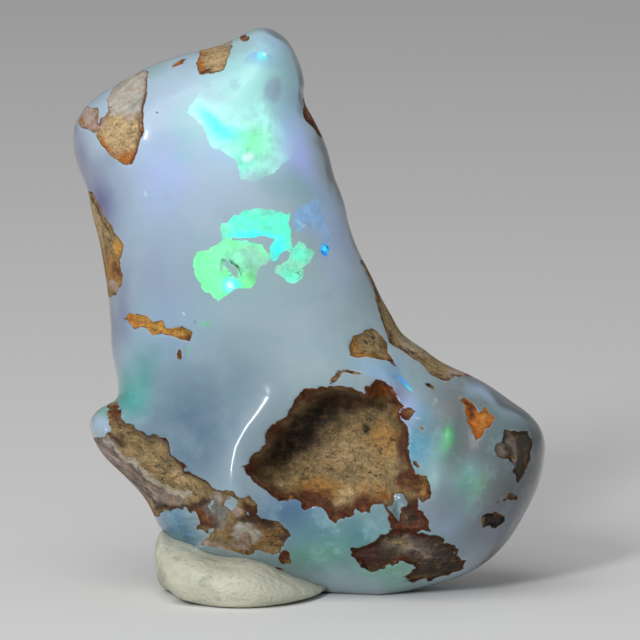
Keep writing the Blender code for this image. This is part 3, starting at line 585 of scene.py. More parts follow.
# Flashes of colour inside the opal: outline, finish, strength
FLASHES = (
    (((-4.5, 18.2), (-4.4, 18.4), (-4.1, 18.5), (-3.95, 18.65), (-3.6, 18.9),
      (-3.25, 19.0), (-2.75, 19.1), (-2.4, 19.15), (-1.9, 19.1), (-1.35, 19.0),
      (-1.05, 18.9), (-1.0, 18.5), (-0.9, 18.1), (-0.95, 17.6), (-0.9, 17.3),
      (-1.1, 17.15), (-1.35, 17.05), (-1.55, 16.8), (-1.75, 16.55), (-1.95, 16.5),
      (-2.1, 16.65), (-2.0, 17.1), (-1.95, 17.35), (-1.8, 17.6), (-1.9, 17.7),
      (-2.4, 17.75), (-3.0, 17.7), (-4.0, 17.7), (-4.35, 17.65), (-4.5, 17.95)),
     "aqua_green", 1.0),
    (((-4.4, 17.6), (-4.65, 17.3), (-5.0, 17.15), (-5.25, 17.0), (-5.6, 16.9),
      (-5.85, 16.7), (-5.9, 16.45), (-5.8, 16.1), (-5.7, 15.75), (-5.55, 15.4),
      (-5.35, 15.1), (-5.0, 15.0), (-4.8, 14.75), (-4.5, 14.6), (-4.1, 14.85),
      (-3.75, 15.05), (-3.35, 15.15), (-2.9, 15.25), (-2.7, 15.6), (-2.6, 16.1),
      (-2.1, 16.5), (-2.1, 16.85), (-2.4, 17.35), (-3.5, 17.55)),
     "bright_green", 1.0),
    (((-1.1, 17.1), (-0.75, 17.25), (-0.5, 17.45), (-0.25, 17.35), (0.1, 17.15),
      (0.25, 16.95), (0.05, 16.7), (-0.1, 16.45), (-0.35, 16.2), (-0.3, 15.95),
      (-0.5, 15.65), (-0.7, 15.45), (-1.0, 15.4), (-1.3, 15.6), (-1.5, 15.8),
      (-1.75, 16.1), (-1.65, 16.3), (-1.4, 16.35), (-1.05, 16.6)),
     "soft_green", 0.95),
    (((-0.85, 18.95), (-0.4, 19.25), (-0.05, 19.45), (0.25, 19.65), (0.5, 19.35),
      (0.6, 19.0), (0.8, 18.35), (1.05, 17.35), (0.6, 17.6), (0.0, 17.85),
      (-0.75, 18.0)),
     "sky", 0.75),
    (((-3.9, 26.35), (-4.25, 25.85), (-5.0, 25.35), (-5.5, 24.85), (-6.1, 23.95),
      (-5.75, 23.7), (-5.5, 23.35), (-5.15, 23.0), (-5.1, 22.6), (-4.9, 22.25),
      (-4.25, 22.0), (-3.7, 21.6), (-3.5, 21.0), (-3.45, 20.65), (-3.05, 20.45),
      (-2.5, 20.55), (-1.6, 21.1), (-0.85, 21.9), (-0.85, 24.5), (-1.2, 26.0),
      (-2.75, 26.4)),
     "ice", 0.85),
    (((-3.35, 26.35), (-3.1, 26.75), (-2.7, 26.95), (-2.1, 26.9), (-1.7, 26.6),
      (-1.6, 26.2), (-1.95, 25.98), (-2.5, 26.05), (-2.95, 26.15)),
     "sky", 0.75),
    (((0.6, 17.4), (0.72, 17.45), (0.95, 17.3), (0.97, 17.05), (0.9, 16.8),
      (0.72, 16.8), (0.56, 17.0)),
     "electric", 1.0),
)

# Marks inside the flashes, laid over their own finish
FLASH_MARKS = (
    (-4.3, 18.2, 0.7, 0.6, 0, 1.0, 0.7, "soft_green"),
    (-2.7, 17.75, 1.7, 0.5, -4, 0.9, 0.95, "cyan"),
    (-1.65, 17.1, 0.45, 0.9, -20, 0.9, 0.9, "cyan"),
    (-3.4, 16.6, 1.5, 0.9, -10, 0.7, 0.85, "soft_green"),
    (-2.9, 15.8, 0.7, 0.9, 0, 0.9, 0.8, "leaf"),
    (-3.9, 15.25, 0.8, 0.65, 0, 0.9, 0.9, "cyan"),
    # A painted highlight: a white dot on the flash
    (-3.95, 15.25, 0.34, 0.32, 0, 0.9, 1.0, "glow"),
    (-3.72, 16.22, 0.55, 0.07, -50, 0.5, 0.85, "driftwood"),
    (-4.28, 16.52, 0.26, 0.06, 20, 0.5, 0.75, "driftwood"),
    (-0.55, 16.9, 0.9, 0.6, 0, 1.0, 0.9, "aqua_green"),
    (-1.0, 15.8, 0.8, 0.6, 0, 1.0, 0.9, "aqua_green"),
    (0.78, 17.15, 0.16, 0.14, 0, 0.5, 0.8, "cyan"),
    (0.7, 16.95, 0.05, 0.08, 0, 0.4, 0.9, "black_specks_and_shade"),
    (0.86, 17.25, 0.04, 0.06, 0, 0.4, 0.8, "black_specks_and_shade"),
    (-0.6, 16.0, 0.07, 0.07, 0, 0.4, 0.9, "black_specks_and_shade"),
    (-4.9, 23.5, 1.5, 0.5, -45, 0.8, 0.9, "cyan"),
    (-4.2, 22.9, 1.6, 0.7, -10, 0.9, 0.75, "cyan"),
    (-2.9, 22.4, 1.7, 1.4, 0, 1.0, 0.85, "bright_green"),
    (-3.3, 21.6, 0.9, 0.9, 0, 1.0, 0.8, "aqua_green"),
    # A painted highlight: a white dot on the crown's flash
    (-3.1, 21.75, 0.44, 0.38, 20, 0.8, 1.0, "glow"),
    (-2.4, 20.9, 0.9, 0.9, 0, 1.0, 0.6, "soft_green"),
    (-1.75, 25.1, 0.55, 0.75, 0, 0.6, 0.85, "lavender"),
    (-2.35, 26.75, 0.45, 0.36, 0, 0.9, 1.0, "cyan"),
    # A painted highlight: a white dot on the knob
    (-2.25, 26.85, 0.18, 0.15, 0, 0.9, 1.0, "glow"),
    (-0.15, 18.1, 0.35, 0.5, -20, 0.8, 0.6, "dusk"),
    (-0.35, 18.35, 0.45, 0.07, -38, 0.5, 0.8, "pale_aqua"),
)

# Where a flash sinks into the milk: across, up, reach across, reach up, turn, softness, loss
FLASH_FADES = (
    (-3.2, 25.6, 3.0, 1.4, 0, 0.6, 1.0),
    (-4.6, 25.2, 2.4, 1.5, -38, 0.7, 1.0),
    (-3.0, 24.6, 1.6, 1.6, 0, 1.0, 0.55),
    (-0.5, 24.6, 2.0, 2.8, 0, 0.5, 1.0),
    (-0.2, 22.2, 2.2, 3.6, 0, 0.9, 1.0),
    (-2.3, 20.0, 2.4, 1.5, 0, 0.9, 1.0),
    (0.2, 17.9, 1.2, 0.7, -10, 1.0, 0.8),
    (-2.1, 15.9, 0.8, 1.1, 0, 1.0, 0.85),
    (-2.8, 17.0, 1.2, 0.6, -10, 1.0, 0.45),
    (-2.6, 16.4, 1.1, 1.2, 0, 1.0, 0.4),
    (-1.6, 26.5, 0.8, 0.6, 0, 1.0, 0.8),
    (-3.95, 16.1, 0.66, 0.22, -48, 0.4, 0.95),
    (-4.42, 16.2, 0.14, 0.34, 10, 0.6, 0.85),
)

# Where the flashes have crazed: across, up, reach across, reach up, turn, softness, strength
FLASH_CRAZING = (
    (-3.85, 16.05, 0.95, 0.6, -48, 0.6, 0.45),
    (-2.5, 18.2, 0.5, 0.55, 0, 0.8, 0.2),
    (-1.4, 17.3, 0.35, 0.5, 0, 0.8, 0.3),
    (-0.6, 15.9, 0.45, 0.4, 0, 0.8, 0.5),
    (0.0, 18.4, 0.9, 0.7, 0, 0.8, 0.3),
    (-2.9, 22.2, 1.0, 1.2, 0, 1.0, 0.12),
)

# Marks on the host rock, from the crown down
ROCK_MARKS = (
    (-9.4, 22.9, 1.8, 1.6, 0, 0.4, 0.95, "sand"),
    (-9.0, 25.0, 1.7, 1.35, 25, 0.25, 0.95, "ash"),
    (-8.6, 24.6, 0.7, 0.25, 50, 0.8, 0.6, "grey_crust"),
    (-9.2, 21.7, 0.8, 0.5, -10, 0.7, 0.85, "orange"),
    (-10.3, 22.3, 0.7, 0.3, -45, 0.7, 0.8, "orange"),
    (-8.35, 23.0, 0.14, 1.6, 8, 0.6, 0.8, "rust"),
    (-11.0, 23.6, 0.9, 0.9, 0, 0.5, 0.95, "shell"),
    (-11.15, 23.35, 0.35, 0.18, 30, 0.7, 0.9, "orange"),
    (-10.85, 23.75, 0.18, 0.35, 10, 0.7, 0.8, "ochre"),
    (-10.55, 23.8, 0.12, 0.45, 0, 0.6, 0.9, "orange"),
    (-11.35, 23.3, 0.12, 0.4, 10, 0.6, 0.6, "ochre"),
    (-6.5, 26.4, 0.6, 0.3, 20, 0.4, 0.9, "orange"),
    (-4.7, 26.6, 1.0, 1.0, 0, 0.6, 0.9, "sand"),
    (-5.45, 26.5, 0.22, 0.9, -5, 0.6, 0.9, "orange"),
    (-5.3, 25.98, 0.5, 0.18, -10, 0.6, 0.9, "rust"),
    (-3.9, 27.3, 0.3, 0.4, 0, 0.8, 0.8, "ash"),
    (-3.3, 27.6, 0.4, 0.4, 0, 0.5, 0.9, "rust"),
    (-10.6, 18.6, 0.8, 2.2, 14, 0.7, 0.85, "sand"),
    (-10.45, 18.9, 0.12, 1.1, 22, 0.8, 0.8, "olive"),
    (-10.15, 17.6, 0.1, 1.3, 10, 0.8, 0.8, "umber"),
    (-9.9, 16.0, 0.9, 1.7, 10, 0.7, 0.85, "ochre"),
    (-9.5, 17.3, 0.4, 0.6, 10, 0.6, 0.95, "gold"),
    (-9.7, 16.1, 0.2, 0.7, 20, 0.7, 0.9, "rust"),
    (-9.95, 15.8, 0.2, 0.6, 10, 0.7, 0.8, "orange"),
    (-9.9, 15.2, 0.45, 0.4, 0, 0.7, 0.8, "blush"),
    (-7.8, 13.3, 2.6, 1.0, -12, 0.3, 0.95, "gold"),
    (-8.9, 13.6, 0.5, 0.3, 0, 0.8, 0.6, "orange"),
    (-8.2, 13.4, 0.25, 0.15, 0, 0.8, 0.7, "rust"),
    (-7.1, 13.05, 0.9, 0.12, -12, 0.8, 0.7, "rust"),
    (-6.1, 12.8, 0.35, 0.35, 0, 0.7, 0.8, "rust"),
    (-6.5, 11.9, 0.4, 0.5, 0, 0.5, 0.9, "orange"),
    (-6.5, 11.95, 0.07, 0.25, 0, 0.5, 0.9, "black_specks_and_shade"),
    (-0.1, 23.3, 0.7, 1.2, 20, 0.6, 0.9, "rust"),
    (3.2, 14.9, 0.7, 2.4, 18, 0.6, 0.8, "tan"),
    (2.9, 12.4, 1.4, 1.1, 0, 0.5, 0.85, "tan"),
    (2.15, 12.2, 0.35, 0.8, -10, 0.7, 0.95, "ochre"),
    (2.8, 11.75, 1.2, 0.25, 0, 0.6, 0.9, "ochre"),
    (3.95, 12.6, 0.35, 0.6, 10, 0.6, 0.8, "umber"),
    (4.2, 11.5, 0.5, 0.4, -30, 0.6, 0.9, "rust"),
    (6.0, 11.8, 2.6, 0.9, -35, 0.6, 0.85, "tan"),
    (7.6, 10.9, 1.0, 0.4, -20, 0.6, 0.7, "shell"),
    (5.2, 12.3, 1.2, 0.3, -35, 0.8, 0.6, "ash"),
    (5.95, 10.3, 0.4, 0.3, 0, 0.4, 0.95, "black_specks_and_shade"),
    (8.4, 8.7, 1.3, 1.5, 0, 0.3, 1.0, "orange"),
    (8.65, 8.5, 0.35, 0.8, -15, 0.8, 0.55, "gold"),
    (7.8, 9.2, 0.25, 0.9, 12, 0.7, 0.85, "dark_red"),
    (10.3, 6.9, 1.5, 2.2, 0, 0.3, 0.95, "driftwood"),
    (10.35, 7.2, 0.45, 0.8, 10, 0.9, 0.75, "mauve"),
    (10.2, 6.3, 0.1, 0.7, -12, 0.8, 0.6, "shell"),
    (9.55, 7.1, 0.4, 0.7, 0, 0.7, 0.85, "mauve"),
    (10.0, 4.65, 0.5, 0.4, 0, 0.5, 0.95, "driftwood"),
    (9.2, 3.6, 0.9, 0.6, 0, 0.5, 1.0, "black_specks_and_shade"),
    (9.25, 3.65, 0.25, 0.14, 0, 0.8, 0.7, "driftwood"),
    (1.0, 7.0, 5.6, 4.2, 0, 0.4, 0.9, "tan"),
    # Painted shadow in the pit's upper left: the umber mark is partly the rock's own dark brown, the soot
    # marks are painted shadow
    (-0.6, 7.6, 3.2, 1.6, 42, 0.7, 0.95, "umber"),
    (-0.2, 8.2, 2.7, 1.1, 40, 0.8, 0.55, "black_specks_and_shade"),
    (-1.4, 6.9, 1.4, 0.45, 42, 0.8, 0.55, "black_specks_and_shade"),
    (0.5, 8.9, 1.2, 0.35, 20, 0.8, 0.5, "black_specks_and_shade"),
    (1.4, 8.9, 2.2, 0.8, 6, 0.8, 0.5, "black_specks_and_shade"),
    (1.6, 9.7, 2.8, 0.8, -3, 0.7, 0.9, "dark_red"),
    (2.6, 9.3, 1.4, 0.5, 0, 0.8, 0.6, "umber"),
    (-0.3, 9.7, 0.7, 0.35, 20, 0.7, 0.7, "rust"),
    (-1.6, 8.1, 0.9, 0.3, 45, 0.7, 0.8, "rust"),
    (3.5, 10.3, 0.8, 0.5, 0, 0.6, 0.95, "orange"),
    (4.3, 9.6, 0.45, 0.9, 20, 0.7, 0.9, "rust"),
    (4.35, 9.2, 0.25, 0.45, 0, 0.7, 0.8, "ochre"),
    (3.7, 7.6, 1.0, 1.4, 0, 0.9, 0.75, "ochre"),
    (3.2, 8.6, 0.7, 0.5, 0, 0.8, 0.6, "olive"),
    (0.6, 6.9, 0.9, 0.25, 15, 0.8, 0.45, "olive"),
    (2.2, 6.2, 1.1, 0.22, 8, 0.8, 0.45, "olive"),
    (4.6, 7.2, 0.35, 1.5, 8, 0.8, 0.6, "rust"),
    (2.9, 8.35, 0.3, 0.25, 0, 0.6, 0.95, "black_specks_and_shade"),
    (3.45, 6.9, 0.14, 0.12, 0, 0.6, 0.9, "black_specks_and_shade"),
    (1.0, 6.1, 0.14, 0.1, 0, 0.6, 0.8, "umber"),
    (1.9, 7.1, 2.2, 0.9, 12, 0.9, 0.5, "sand"),
    (-1.9, 5.5, 1.1, 0.6, -35, 0.8, 0.75, "sand"),
    (-3.0, 6.2, 0.6, 0.7, 0, 0.7, 0.8, "rust"),
    (-1.5, 4.85, 1.3, 0.4, -28, 0.7, 0.9, "rust"),
    (0.4, 5.1, 1.6, 0.9, 0, 0.7, 0.9, "ochre"),
    (0.0, 4.65, 1.9, 0.6, 0, 0.7, 0.95, "rust"),
    (2.0, 4.7, 0.8, 0.7, 0, 0.6, 0.8, "sand"),
    (1.0, 4.2, 2.6, 0.55, -8, 0.7, 0.8, "rust"),
    (1.4, 3.8, 1.0, 0.45, 0, 0.6, 0.95, "dark_red"),
    (3.0, 5.0, 1.1, 0.9, 0, 0.9, 0.7, "ochre"),
    (2.9, 4.4, 1.0, 0.4, 0, 0.7, 0.85, "rust"),
    (3.6, 4.75, 0.25, 0.22, 0, 0.6, 0.85, "orange"),
    (4.9, 5.4, 0.9, 0.7, 10, 0.6, 0.9, "rust"),
    (4.55, 5.5, 0.16, 0.5, 25, 0.7, 0.8, "dark_red"),
    (5.1, 5.3, 0.35, 0.25, 0, 0.8, 0.7, "ochre"),
    (5.8, 5.1, 0.45, 0.8, 0, 0.6, 0.9, "ochre"),
    (5.1, 3.8, 1.2, 0.9, -20, 0.6, 0.95, "dark_red"),
    (4.0, 3.6, 0.9, 0.6, -30, 0.7, 0.9, "dark_red"),
    (4.9, 8.95, 0.6, 0.6, 0, 0.5, 0.9, "rust"),
    (5.7, 8.15, 0.3, 0.3, 0, 0.5, 0.9, "ochre"),
    (5.4, 6.4, 0.3, 0.3, 0, 0.5, 0.9, "ochre"),
    (4.9, 2.0, 4.2, 2.3, -12, 0.3, 0.95, "umber"),
    (4.9, 2.25, 1.9, 0.62, -14, 0.8, 0.6, "mauve"),
    (4.5, 2.45, 1.1, 0.22, -16, 0.8, 0.85, "tan"),
    (5.4, 2.05, 0.9, 0.12, -14, 0.8, 0.8, "shell"),
    (5.9, 1.75, 0.9, 0.1, -20, 0.8, 0.6, "shell"),
    (2.9, 1.7, 1.1, 0.9, 0, 0.5, 0.95, "dark_red"),
    (4.7, 1.7, 0.8, 0.4, 0, 0.8, 0.8, "rust"),
    (6.6, 1.6, 1.3, 1.0, -20, 0.7, 0.6, "driftwood"),
    (6.3, 1.1, 1.2, 0.5, 10, 0.8, 0.6, "black_specks_and_shade"),
    (-9.9, 8.9, 0.35, 0.8, 0, 0.6, 0.95, "rust"),
    (-9.6, 7.7, 0.7, 0.35, -10, 0.6, 0.95, "dark_red"),
    (-10.4, 7.3, 1.0, 0.8, -45, 0.8, 0.9, "mauve"),
    (-7.8, 6.9, 2.4, 1.0, -42, 0.7, 0.95, "tan"),
    (-8.4, 7.0, 1.2, 0.35, -42, 0.8, 0.55, "sand"),
    (-6.2, 5.7, 1.4, 0.4, -35, 0.8, 0.85, "sand"),
    (-7.7, 7.65, 1.2, 0.36, -28, 0.8, 0.9, "mauve"),
    (-7.6, 7.75, 0.8, 0.1, -28, 0.8, 0.6, "ash"),
    (-7.1, 7.0, 0.35, 0.6, 0, 0.8, 0.6, "mauve"),
    (-8.6, 7.2, 0.9, 0.16, -45, 0.8, 0.8, "olive"),
    (-7.7, 6.6, 0.8, 0.12, -40, 0.8, 0.7, "olive"),
    (-7.2, 6.9, 0.5, 0.12, -45, 0.8, 0.7, "olive"),
    (-6.3, 4.8, 1.5, 0.55, -8, 0.8, 0.9, "tan"),
    (-7.2, 4.3, 1.0, 0.35, -10, 0.8, 0.85, "umber"),
    (-7.6, 4.0, 0.5, 0.3, -30, 0.7, 0.9, "dark_red"),
    (-5.4, 4.3, 1.1, 0.28, -5, 0.8, 0.85, "umber"),
    (-5.2, 3.7, 0.7, 0.85, 0, 0.5, 0.95, "rust"),
    (-5.6, 2.8, 0.5, 0.2, -10, 0.6, 0.9, "rust"),
    (-4.6, 3.9, 0.7, 0.9, 0, 0.8, 0.9, "grey_crust"),
    (-4.4, 4.7, 0.6, 0.4, 0, 0.8, 0.9, "ash"),
    (-3.6, 4.2, 0.5, 0.5, 0, 0.7, 0.8, "shell"),
    (-2.9, 4.2, 0.5, 0.8, 25, 0.5, 0.95, "dark_red"),
    (-2.7, 2.9, 2.2, 1.1, -5, 0.7, 0.9, "honey"),
    (-2.7, 3.4, 1.6, 0.5, -5, 0.7, 0.95, "umber"),
    (-3.3, 3.05, 0.7, 0.32, 15, 0.6, 0.9, "ash"),
    (-2.8, 2.75, 0.7, 0.25, -15, 0.6, 0.85, "ash"),
    (-3.6, 2.55, 0.8, 0.22, 5, 0.7, 0.75, "shell"),
    (-1.9, 2.6, 0.8, 0.55, 0, 0.6, 0.8, "honey"),
    (-1.15, 2.8, 0.35, 0.8, 0, 0.6, 0.9, "umber"),
    (-5.0, 2.5, 1.0, 0.45, -5, 0.7, 0.8, "shell"),
    (-4.1, 2.15, 1.1, 0.18, -5, 0.7, 0.8, "ochre"),
    (-1.15, 1.65, 0.6, 0.6, 0, 0.5, 0.95, "rust"),
    (-1.55, 1.1, 0.6, 0.3, 0, 0.5, 0.9, "rust"),
)

# Dark lines on the host rock: chain of points, half width, strength, finish
ROCK_LINES = (
    # Along the top of the sunken shelf: a dark red rim, with painted shadow under the step
    (((-9.55, 9.3), (-9.2, 8.6), (-8.65, 8.2), (-8.05, 7.9), (-7.45, 7.8),
      (-7.0, 7.4), (-6.85, 6.9), (-6.4, 6.4), (-5.8, 5.9), (-5.15, 5.45),
      (-4.8, 5.15), (-4.1, 5.08)), 0.09, 0.9, "dark_red"),
    (((-10.8, 7.45), (-9.95, 6.8), (-9.1, 6.15), (-8.25, 5.35), (-7.5, 4.8), (-6.7, 4.5)),
     0.4, 0.85, "mauve"),
    (((-10.3, 7.55), (-9.5, 6.9), (-8.6, 6.15), (-7.8, 5.5), (-6.9, 5.0), (-6.1, 4.8)),
     0.13, 0.6, "ash"),
    (((-9.9, 7.0), (-9.1, 6.38), (-8.3, 5.62), (-7.5, 5.05)), 0.08, 0.55, "umber"),
    (((-10.7, 7.3), (-9.85, 6.6), (-9.1, 5.95), (-8.4, 5.25), (-7.7, 4.7)), 0.11, 0.6, "blush"),
    (((-9.6, 6.35), (-8.9, 5.75), (-8.2, 5.0), (-7.7, 4.45)), 0.06, 0.6, "umber"),
    (((-9.0, 5.5), (-8.35, 4.95), (-7.85, 4.3)), 0.09, 0.7, "shell"),
    (((-7.75, 4.2), (-6.9, 4.15), (-6.1, 4.05), (-5.3, 4.4)), 0.1, 0.85, "umber"),
    (((4.5, 12.3), (5.0, 11.75), (5.65, 11.2), (6.3, 10.68), (6.8, 10.58), (7.3, 10.85)),
     0.07, 0.9, "dark_red"),
    (((4.8, 12.2), (5.5, 11.7), (6.2, 11.2)), 0.05, 0.7, "umber"),
    (((2.8, 15.9), (3.3, 14.9), (3.55, 13.9), (3.75, 13.1)), 0.06, 0.8, "umber"),
    (((-0.4, 24.6), (-0.3, 23.7), (0.1, 23.35), (0.45, 22.7)), 0.07, 0.95, "dark_red"),
    (((-8.05, 25.7), (-8.2, 24.8), (-8.32, 24.0), (-8.32, 23.1), (-8.55, 22.4),
      (-8.85, 21.5)), 0.07, 0.85, "rust"),
    (((-10.9, 19.7), (-10.4, 18.8), (-10.05, 17.9)), 0.05, 0.8, "umber"),
)


class NuggetSettings(bpy.types.PropertyGroup):
    """Finish of the stone."""

    milkiness: bpy.props.FloatProperty(
        name="Milkiness", description="How much light sinks into the opal",
        default=0.35, min=0.0, max=1.0, subtype="FACTOR")
    light_reach: bpy.props.FloatProperty(
        name="Light reach", description="How far light spreads inside the opal",
        default=0.0009, min=0.0, max=0.01, precision=4, unit="LENGTH")
    polish: bpy.props.FloatProperty(
        name="Polish", description="Strength of the tumbled gloss on the opal",
        default=0.9, min=0.0, max=1.0, subtype="FACTOR")
    # Painted glow: the flashes give out light of their own through the emission, though they are no lamp
    painted_flash_glow: bpy.props.FloatProperty(
        name="Flash light", description="Light given back by the flashes of colour",
        default=0.30, min=0.0, max=3.0)
    grain_size: bpy.props.FloatProperty(
        name="Grain size", description="Size of the grains of the host rock",
        default=0.00018, min=0.00002, max=0.002, precision=5, unit="LENGTH")


class PuttySettings(bpy.types.PropertyGroup):
    """Finish of the putty."""

    colour: bpy.props.FloatVectorProperty(
        name="Colour", description="Colour of the clean putty",
        default=(0.60, 0.60, 0.48), size=3, min=0.0, max=1.0, subtype="COLOR")
    smear: bpy.props.FloatVectorProperty(
        name="Smear", description="Colour of the grey smears on the putty",
        default=(0.22, 0.25, 0.20), size=3, min=0.0, max=1.0, subtype="COLOR")


class StageSettings(bpy.types.PropertyGroup):
    """Floor, light and camera."""

    floor_colour: bpy.props.FloatVectorProperty(
        name="Floor", description="Colour of the pale floor",
        default=(0.80, 0.80, 0.80), size=3, min=0.0, max=1.0, subtype="COLOR")
    room_light: bpy.props.FloatProperty(
        name="Room light", description="Strength of the even light from all round",
        default=0.26, min=0.0, max=5.0)
    key_power: bpy.props.FloatProperty(
        name="Key light", description="Power of the lamp above the camera, in watts",
        default=0.95, min=0.0, max=50.0, unit="POWER")
    soft_power: bpy.props.FloatProperty(
        name="Soft light", description="Power of the wide lamp above the stone, in watts",
        default=1.5, min=0.0, max=50.0, unit="POWER")
    camera_distance: bpy.props.FloatProperty(
        name="Camera distance", description="From the lens to the middle of the stone",
        default=0.400, min=0.05, max=5.0, unit="LENGTH")
    lens: bpy.props.FloatProperty(
        name="Lens", description="Focal length of the camera",
        default=450.0, min=20.0, max=450.0, unit="CAMERA")


def linear(name):
    """A finish of the palette as linear light, with its grain last."""
    value = np.array(PALETTE[name][:3])
    light = np.where(value <= 0.04045, value / 12.92, ((value + 0.055) / 1.055) ** 2.4)
    return np.append(light, PALETTE[name][3])


def rounded_chain(points, rounds=2):
    """Cut the corners of an open chain again and again, keeping its two ends."""
    chain = np.asarray(points, dtype=float)
    for _ in range(rounds):
        near = 0.75 * chain[:-1] + 0.25 * chain[1:]
        far = 0.25 * chain[:-1] + 0.75 * chain[1:]
        middle = np.stack([near, far], axis=1).reshape(-1, 2)
        chain = np.vstack([chain[:1], middle, chain[-1:]])
    return chain


def smooth_step(value):
    """Rise from 0 to 1 with level ends: 3 t squared less 2 t cubed."""
    held = np.clip(value, 0.0, 1.0)
    return held * held * (3.0 - 2.0 * held)


def fades(value, span):
    """Two shares: one rises past the low end of a span, one falls before its high end."""
    (low, low_fade), (high, high_fade) = span
    return smooth_step((value - low) / low_fade), smooth_step((high - value) / high_fade)


def in_batches(points, work):
    """Run a point function over a long list of points, a batch at a time."""
    steps = range(0, len(points), POINTS_AT_ONCE)
    return np.concatenate([work(points[start:start + POINTS_AT_ONCE]) for start in steps])


def segment_frames(points, starts, ends):
    """Each point's distance along and beside every segment, and the lengths."""
    run = ends - starts
    length = np.hypot(run[:, 0], run[:, 1])[None, :]
    unit = run / length.T
    offset = points[:, None, :] - starts[None, :, :]
    along = offset[:, :, 0] * unit[:, 0] + offset[:, :, 1] * unit[:, 1]
    beside = offset[:, :, 0] * unit[:, 1] - offset[:, :, 1] * unit[:, 0]
    return along, beside, length


def nearest_segment(points, starts, ends):
    """Distance from each point to the nearest of some segments."""
    along, beside, length = segment_frames(points, starts, ends)
    past = along - np.clip(along, 0.0, length)
    return np.sqrt(np.min(past * past + beside * beside, axis=1))


def distance_to_chain(points, chain):
    """Distance from each point to the nearest stretch of an open chain."""
    corners = np.asarray(chain, dtype=float)
    return in_batches(points[:, :2], lambda batch: nearest_segment(batch, corners[:-1], corners[1:]))


def distance_inside(points, corners):
    """Distance to a closed outline, above zero inside it and below zero outside."""
    starts = np.asarray(corners, dtype=float)
    ends = np.roll(starts, -1, axis=0)
    rise = ends[:, 1] - starts[:, 1]
    rise = np.where(np.abs(rise) < 1e-9, 1e-9, rise)

    def work(batch):
        nearest = nearest_segment(batch, starts, ends)
        x = batch[:, None, 0]
        y = batch[:, None, 1]
        crosses = (starts[None, :, 1] > y) != (ends[None, :, 1] > y)
        hit = starts[None, :, 0] + (y - starts[None, :, 1]) * (ends[:, 0] - starts[:, 0]) / rise
        inside = np.sum(crosses & (x < hit), axis=1) % 2 == 1
        return np.where(inside, nearest, -nearest)

    return in_batches(points[:, :2], work)


def soft_edge_distance(points, outline):
    """A distance from the outline that has no creases.

    Every stretch of outline pushes with the inverse fourth power of its distance.
    The push is summed exactly along each stretch and turned back into a distance,
    which is the true one close to an edge and levels off in the middle.
    """
    starts = outline
    ends = np.roll(outline, -1, axis=0)

    def work(batch):
        along, beside, length = segment_frames(batch, starts, ends)
        off = np.maximum(np.abs(beside), 1e-4)

        def push(reach):
            flat = reach / (2.0 * off ** 2 * (off ** 2 + reach ** 2))
            return flat + np.arctan(reach / off) / (2.0 * off ** 3)

        total = np.sum(push(length - along) + push(along), axis=1)
        return (0.5 * math.pi / total) ** (1.0 / 3.0)

    return in_batches(points[:, :2], work)


def lattice_noise(points, cell, seed):
    """Smooth noise from -1 to 1: random values on a cubic lattice, blended."""
    table = np.random.default_rng(seed).uniform(-1.0, 1.0, (LATTICE_CELLS,) * 3)
    scaled = points / cell
    base = np.floor(scaled).astype(int)
    part = smooth_step(scaled - base)
    total = np.zeros(len(points))
    for corner in np.ndindex(2, 2, 2):
        weight = np.where(corner, part, 1.0 - part)
        x, y, z = ((base + corner) % LATTICE_CELLS).T
        total += weight[:, 0] * weight[:, 1] * weight[:, 2] * table[x, y, z]
    return total


def noise_sum(points, sizes, seed):
    """Noise of a few sizes, one on the other, each size given by its cell and height."""
    total = np.zeros(len(points))
    for step, (cell, height) in enumerate(sizes):
        total += height * lattice_noise(points, cell, seed + step)
    return total


def grain(points, sizes, seed):
    """The roughness of broken rock.

    A point is its place across and up the board, and how far round the side it lies.
    """
    return noise_sum(points + np.array([0.0, 0.0, seed]), sizes, seed)


def ragged(points, sizes, seed):
    """Move each point of the board a little, so that outlines read there turn ragged."""
    across = grain(points, sizes, seed)
    up = grain(points, sizes, seed + UP_SEED_STEP)
    return points + np.column_stack([across, up, np.zeros(len(points))])


def swellings(points, table):
    """The sum of round swellings, each fading like a bell."""
    total = np.zeros(len(points))
    for across, up, reach_across, reach_up, height in table:
        spread = ((points[:, 0] - across) / reach_across) ** 2
        spread += ((points[:, 1] - up) / reach_up) ** 2
        total += height * np.exp(-spread)
    return total


def crest(points):
    """The rounded crest beside the pit, fading out at its two ends."""
    near = distance_to_chain(points, FRONT_CREST)
    starts, ends = fades(points[:, 1], CREST_SPAN)
    return CREST_HEIGHT * (starts * ends) * np.exp(-(near / CREST_REACH) ** 2)


def left_face(points):
    """How far the lower left face falls away to the left of the crest."""
    chain = np.array(FRONT_CREST)[::-1]
    left = np.interp(points[:, 1], chain[:, 1], chain[:, 0]) - points[:, 0]
    run = 0.5 * (left + np.hypot(left, FACE_ROUNDING)) - 0.5 * FACE_ROUNDING
    starts, ends = fades(points[:, 1], FACE_SPAN)
    return FACE_TILT * run * starts * ends


def shelf_roll(points):
    """The rounded roll along the lower left edge."""
    near = distance_to_chain(points, SHELF_ROLL)
    return ROLL_HEIGHT * np.exp(-(near / ROLL_REACH) ** 2)


def pit_depth(points):
    """Depth of the big pit: steep walls, deepest at its upper left."""
    wall = smooth_step(distance_inside(points, PIT_RIM) / PIT_WALL)
    slope = (points[:, 0] - PIT_MIDDLE[0]) * PIT_SLOPE[0] - (points[:, 1] - PIT_MIDDLE[1]) * PIT_SLOPE[1]
    floor = np.clip(PIT_DEPTH - np.maximum(slope, PIT_LEVEL), PIT_SHALLOWEST, PIT_DEPTH)
    return wall * floor


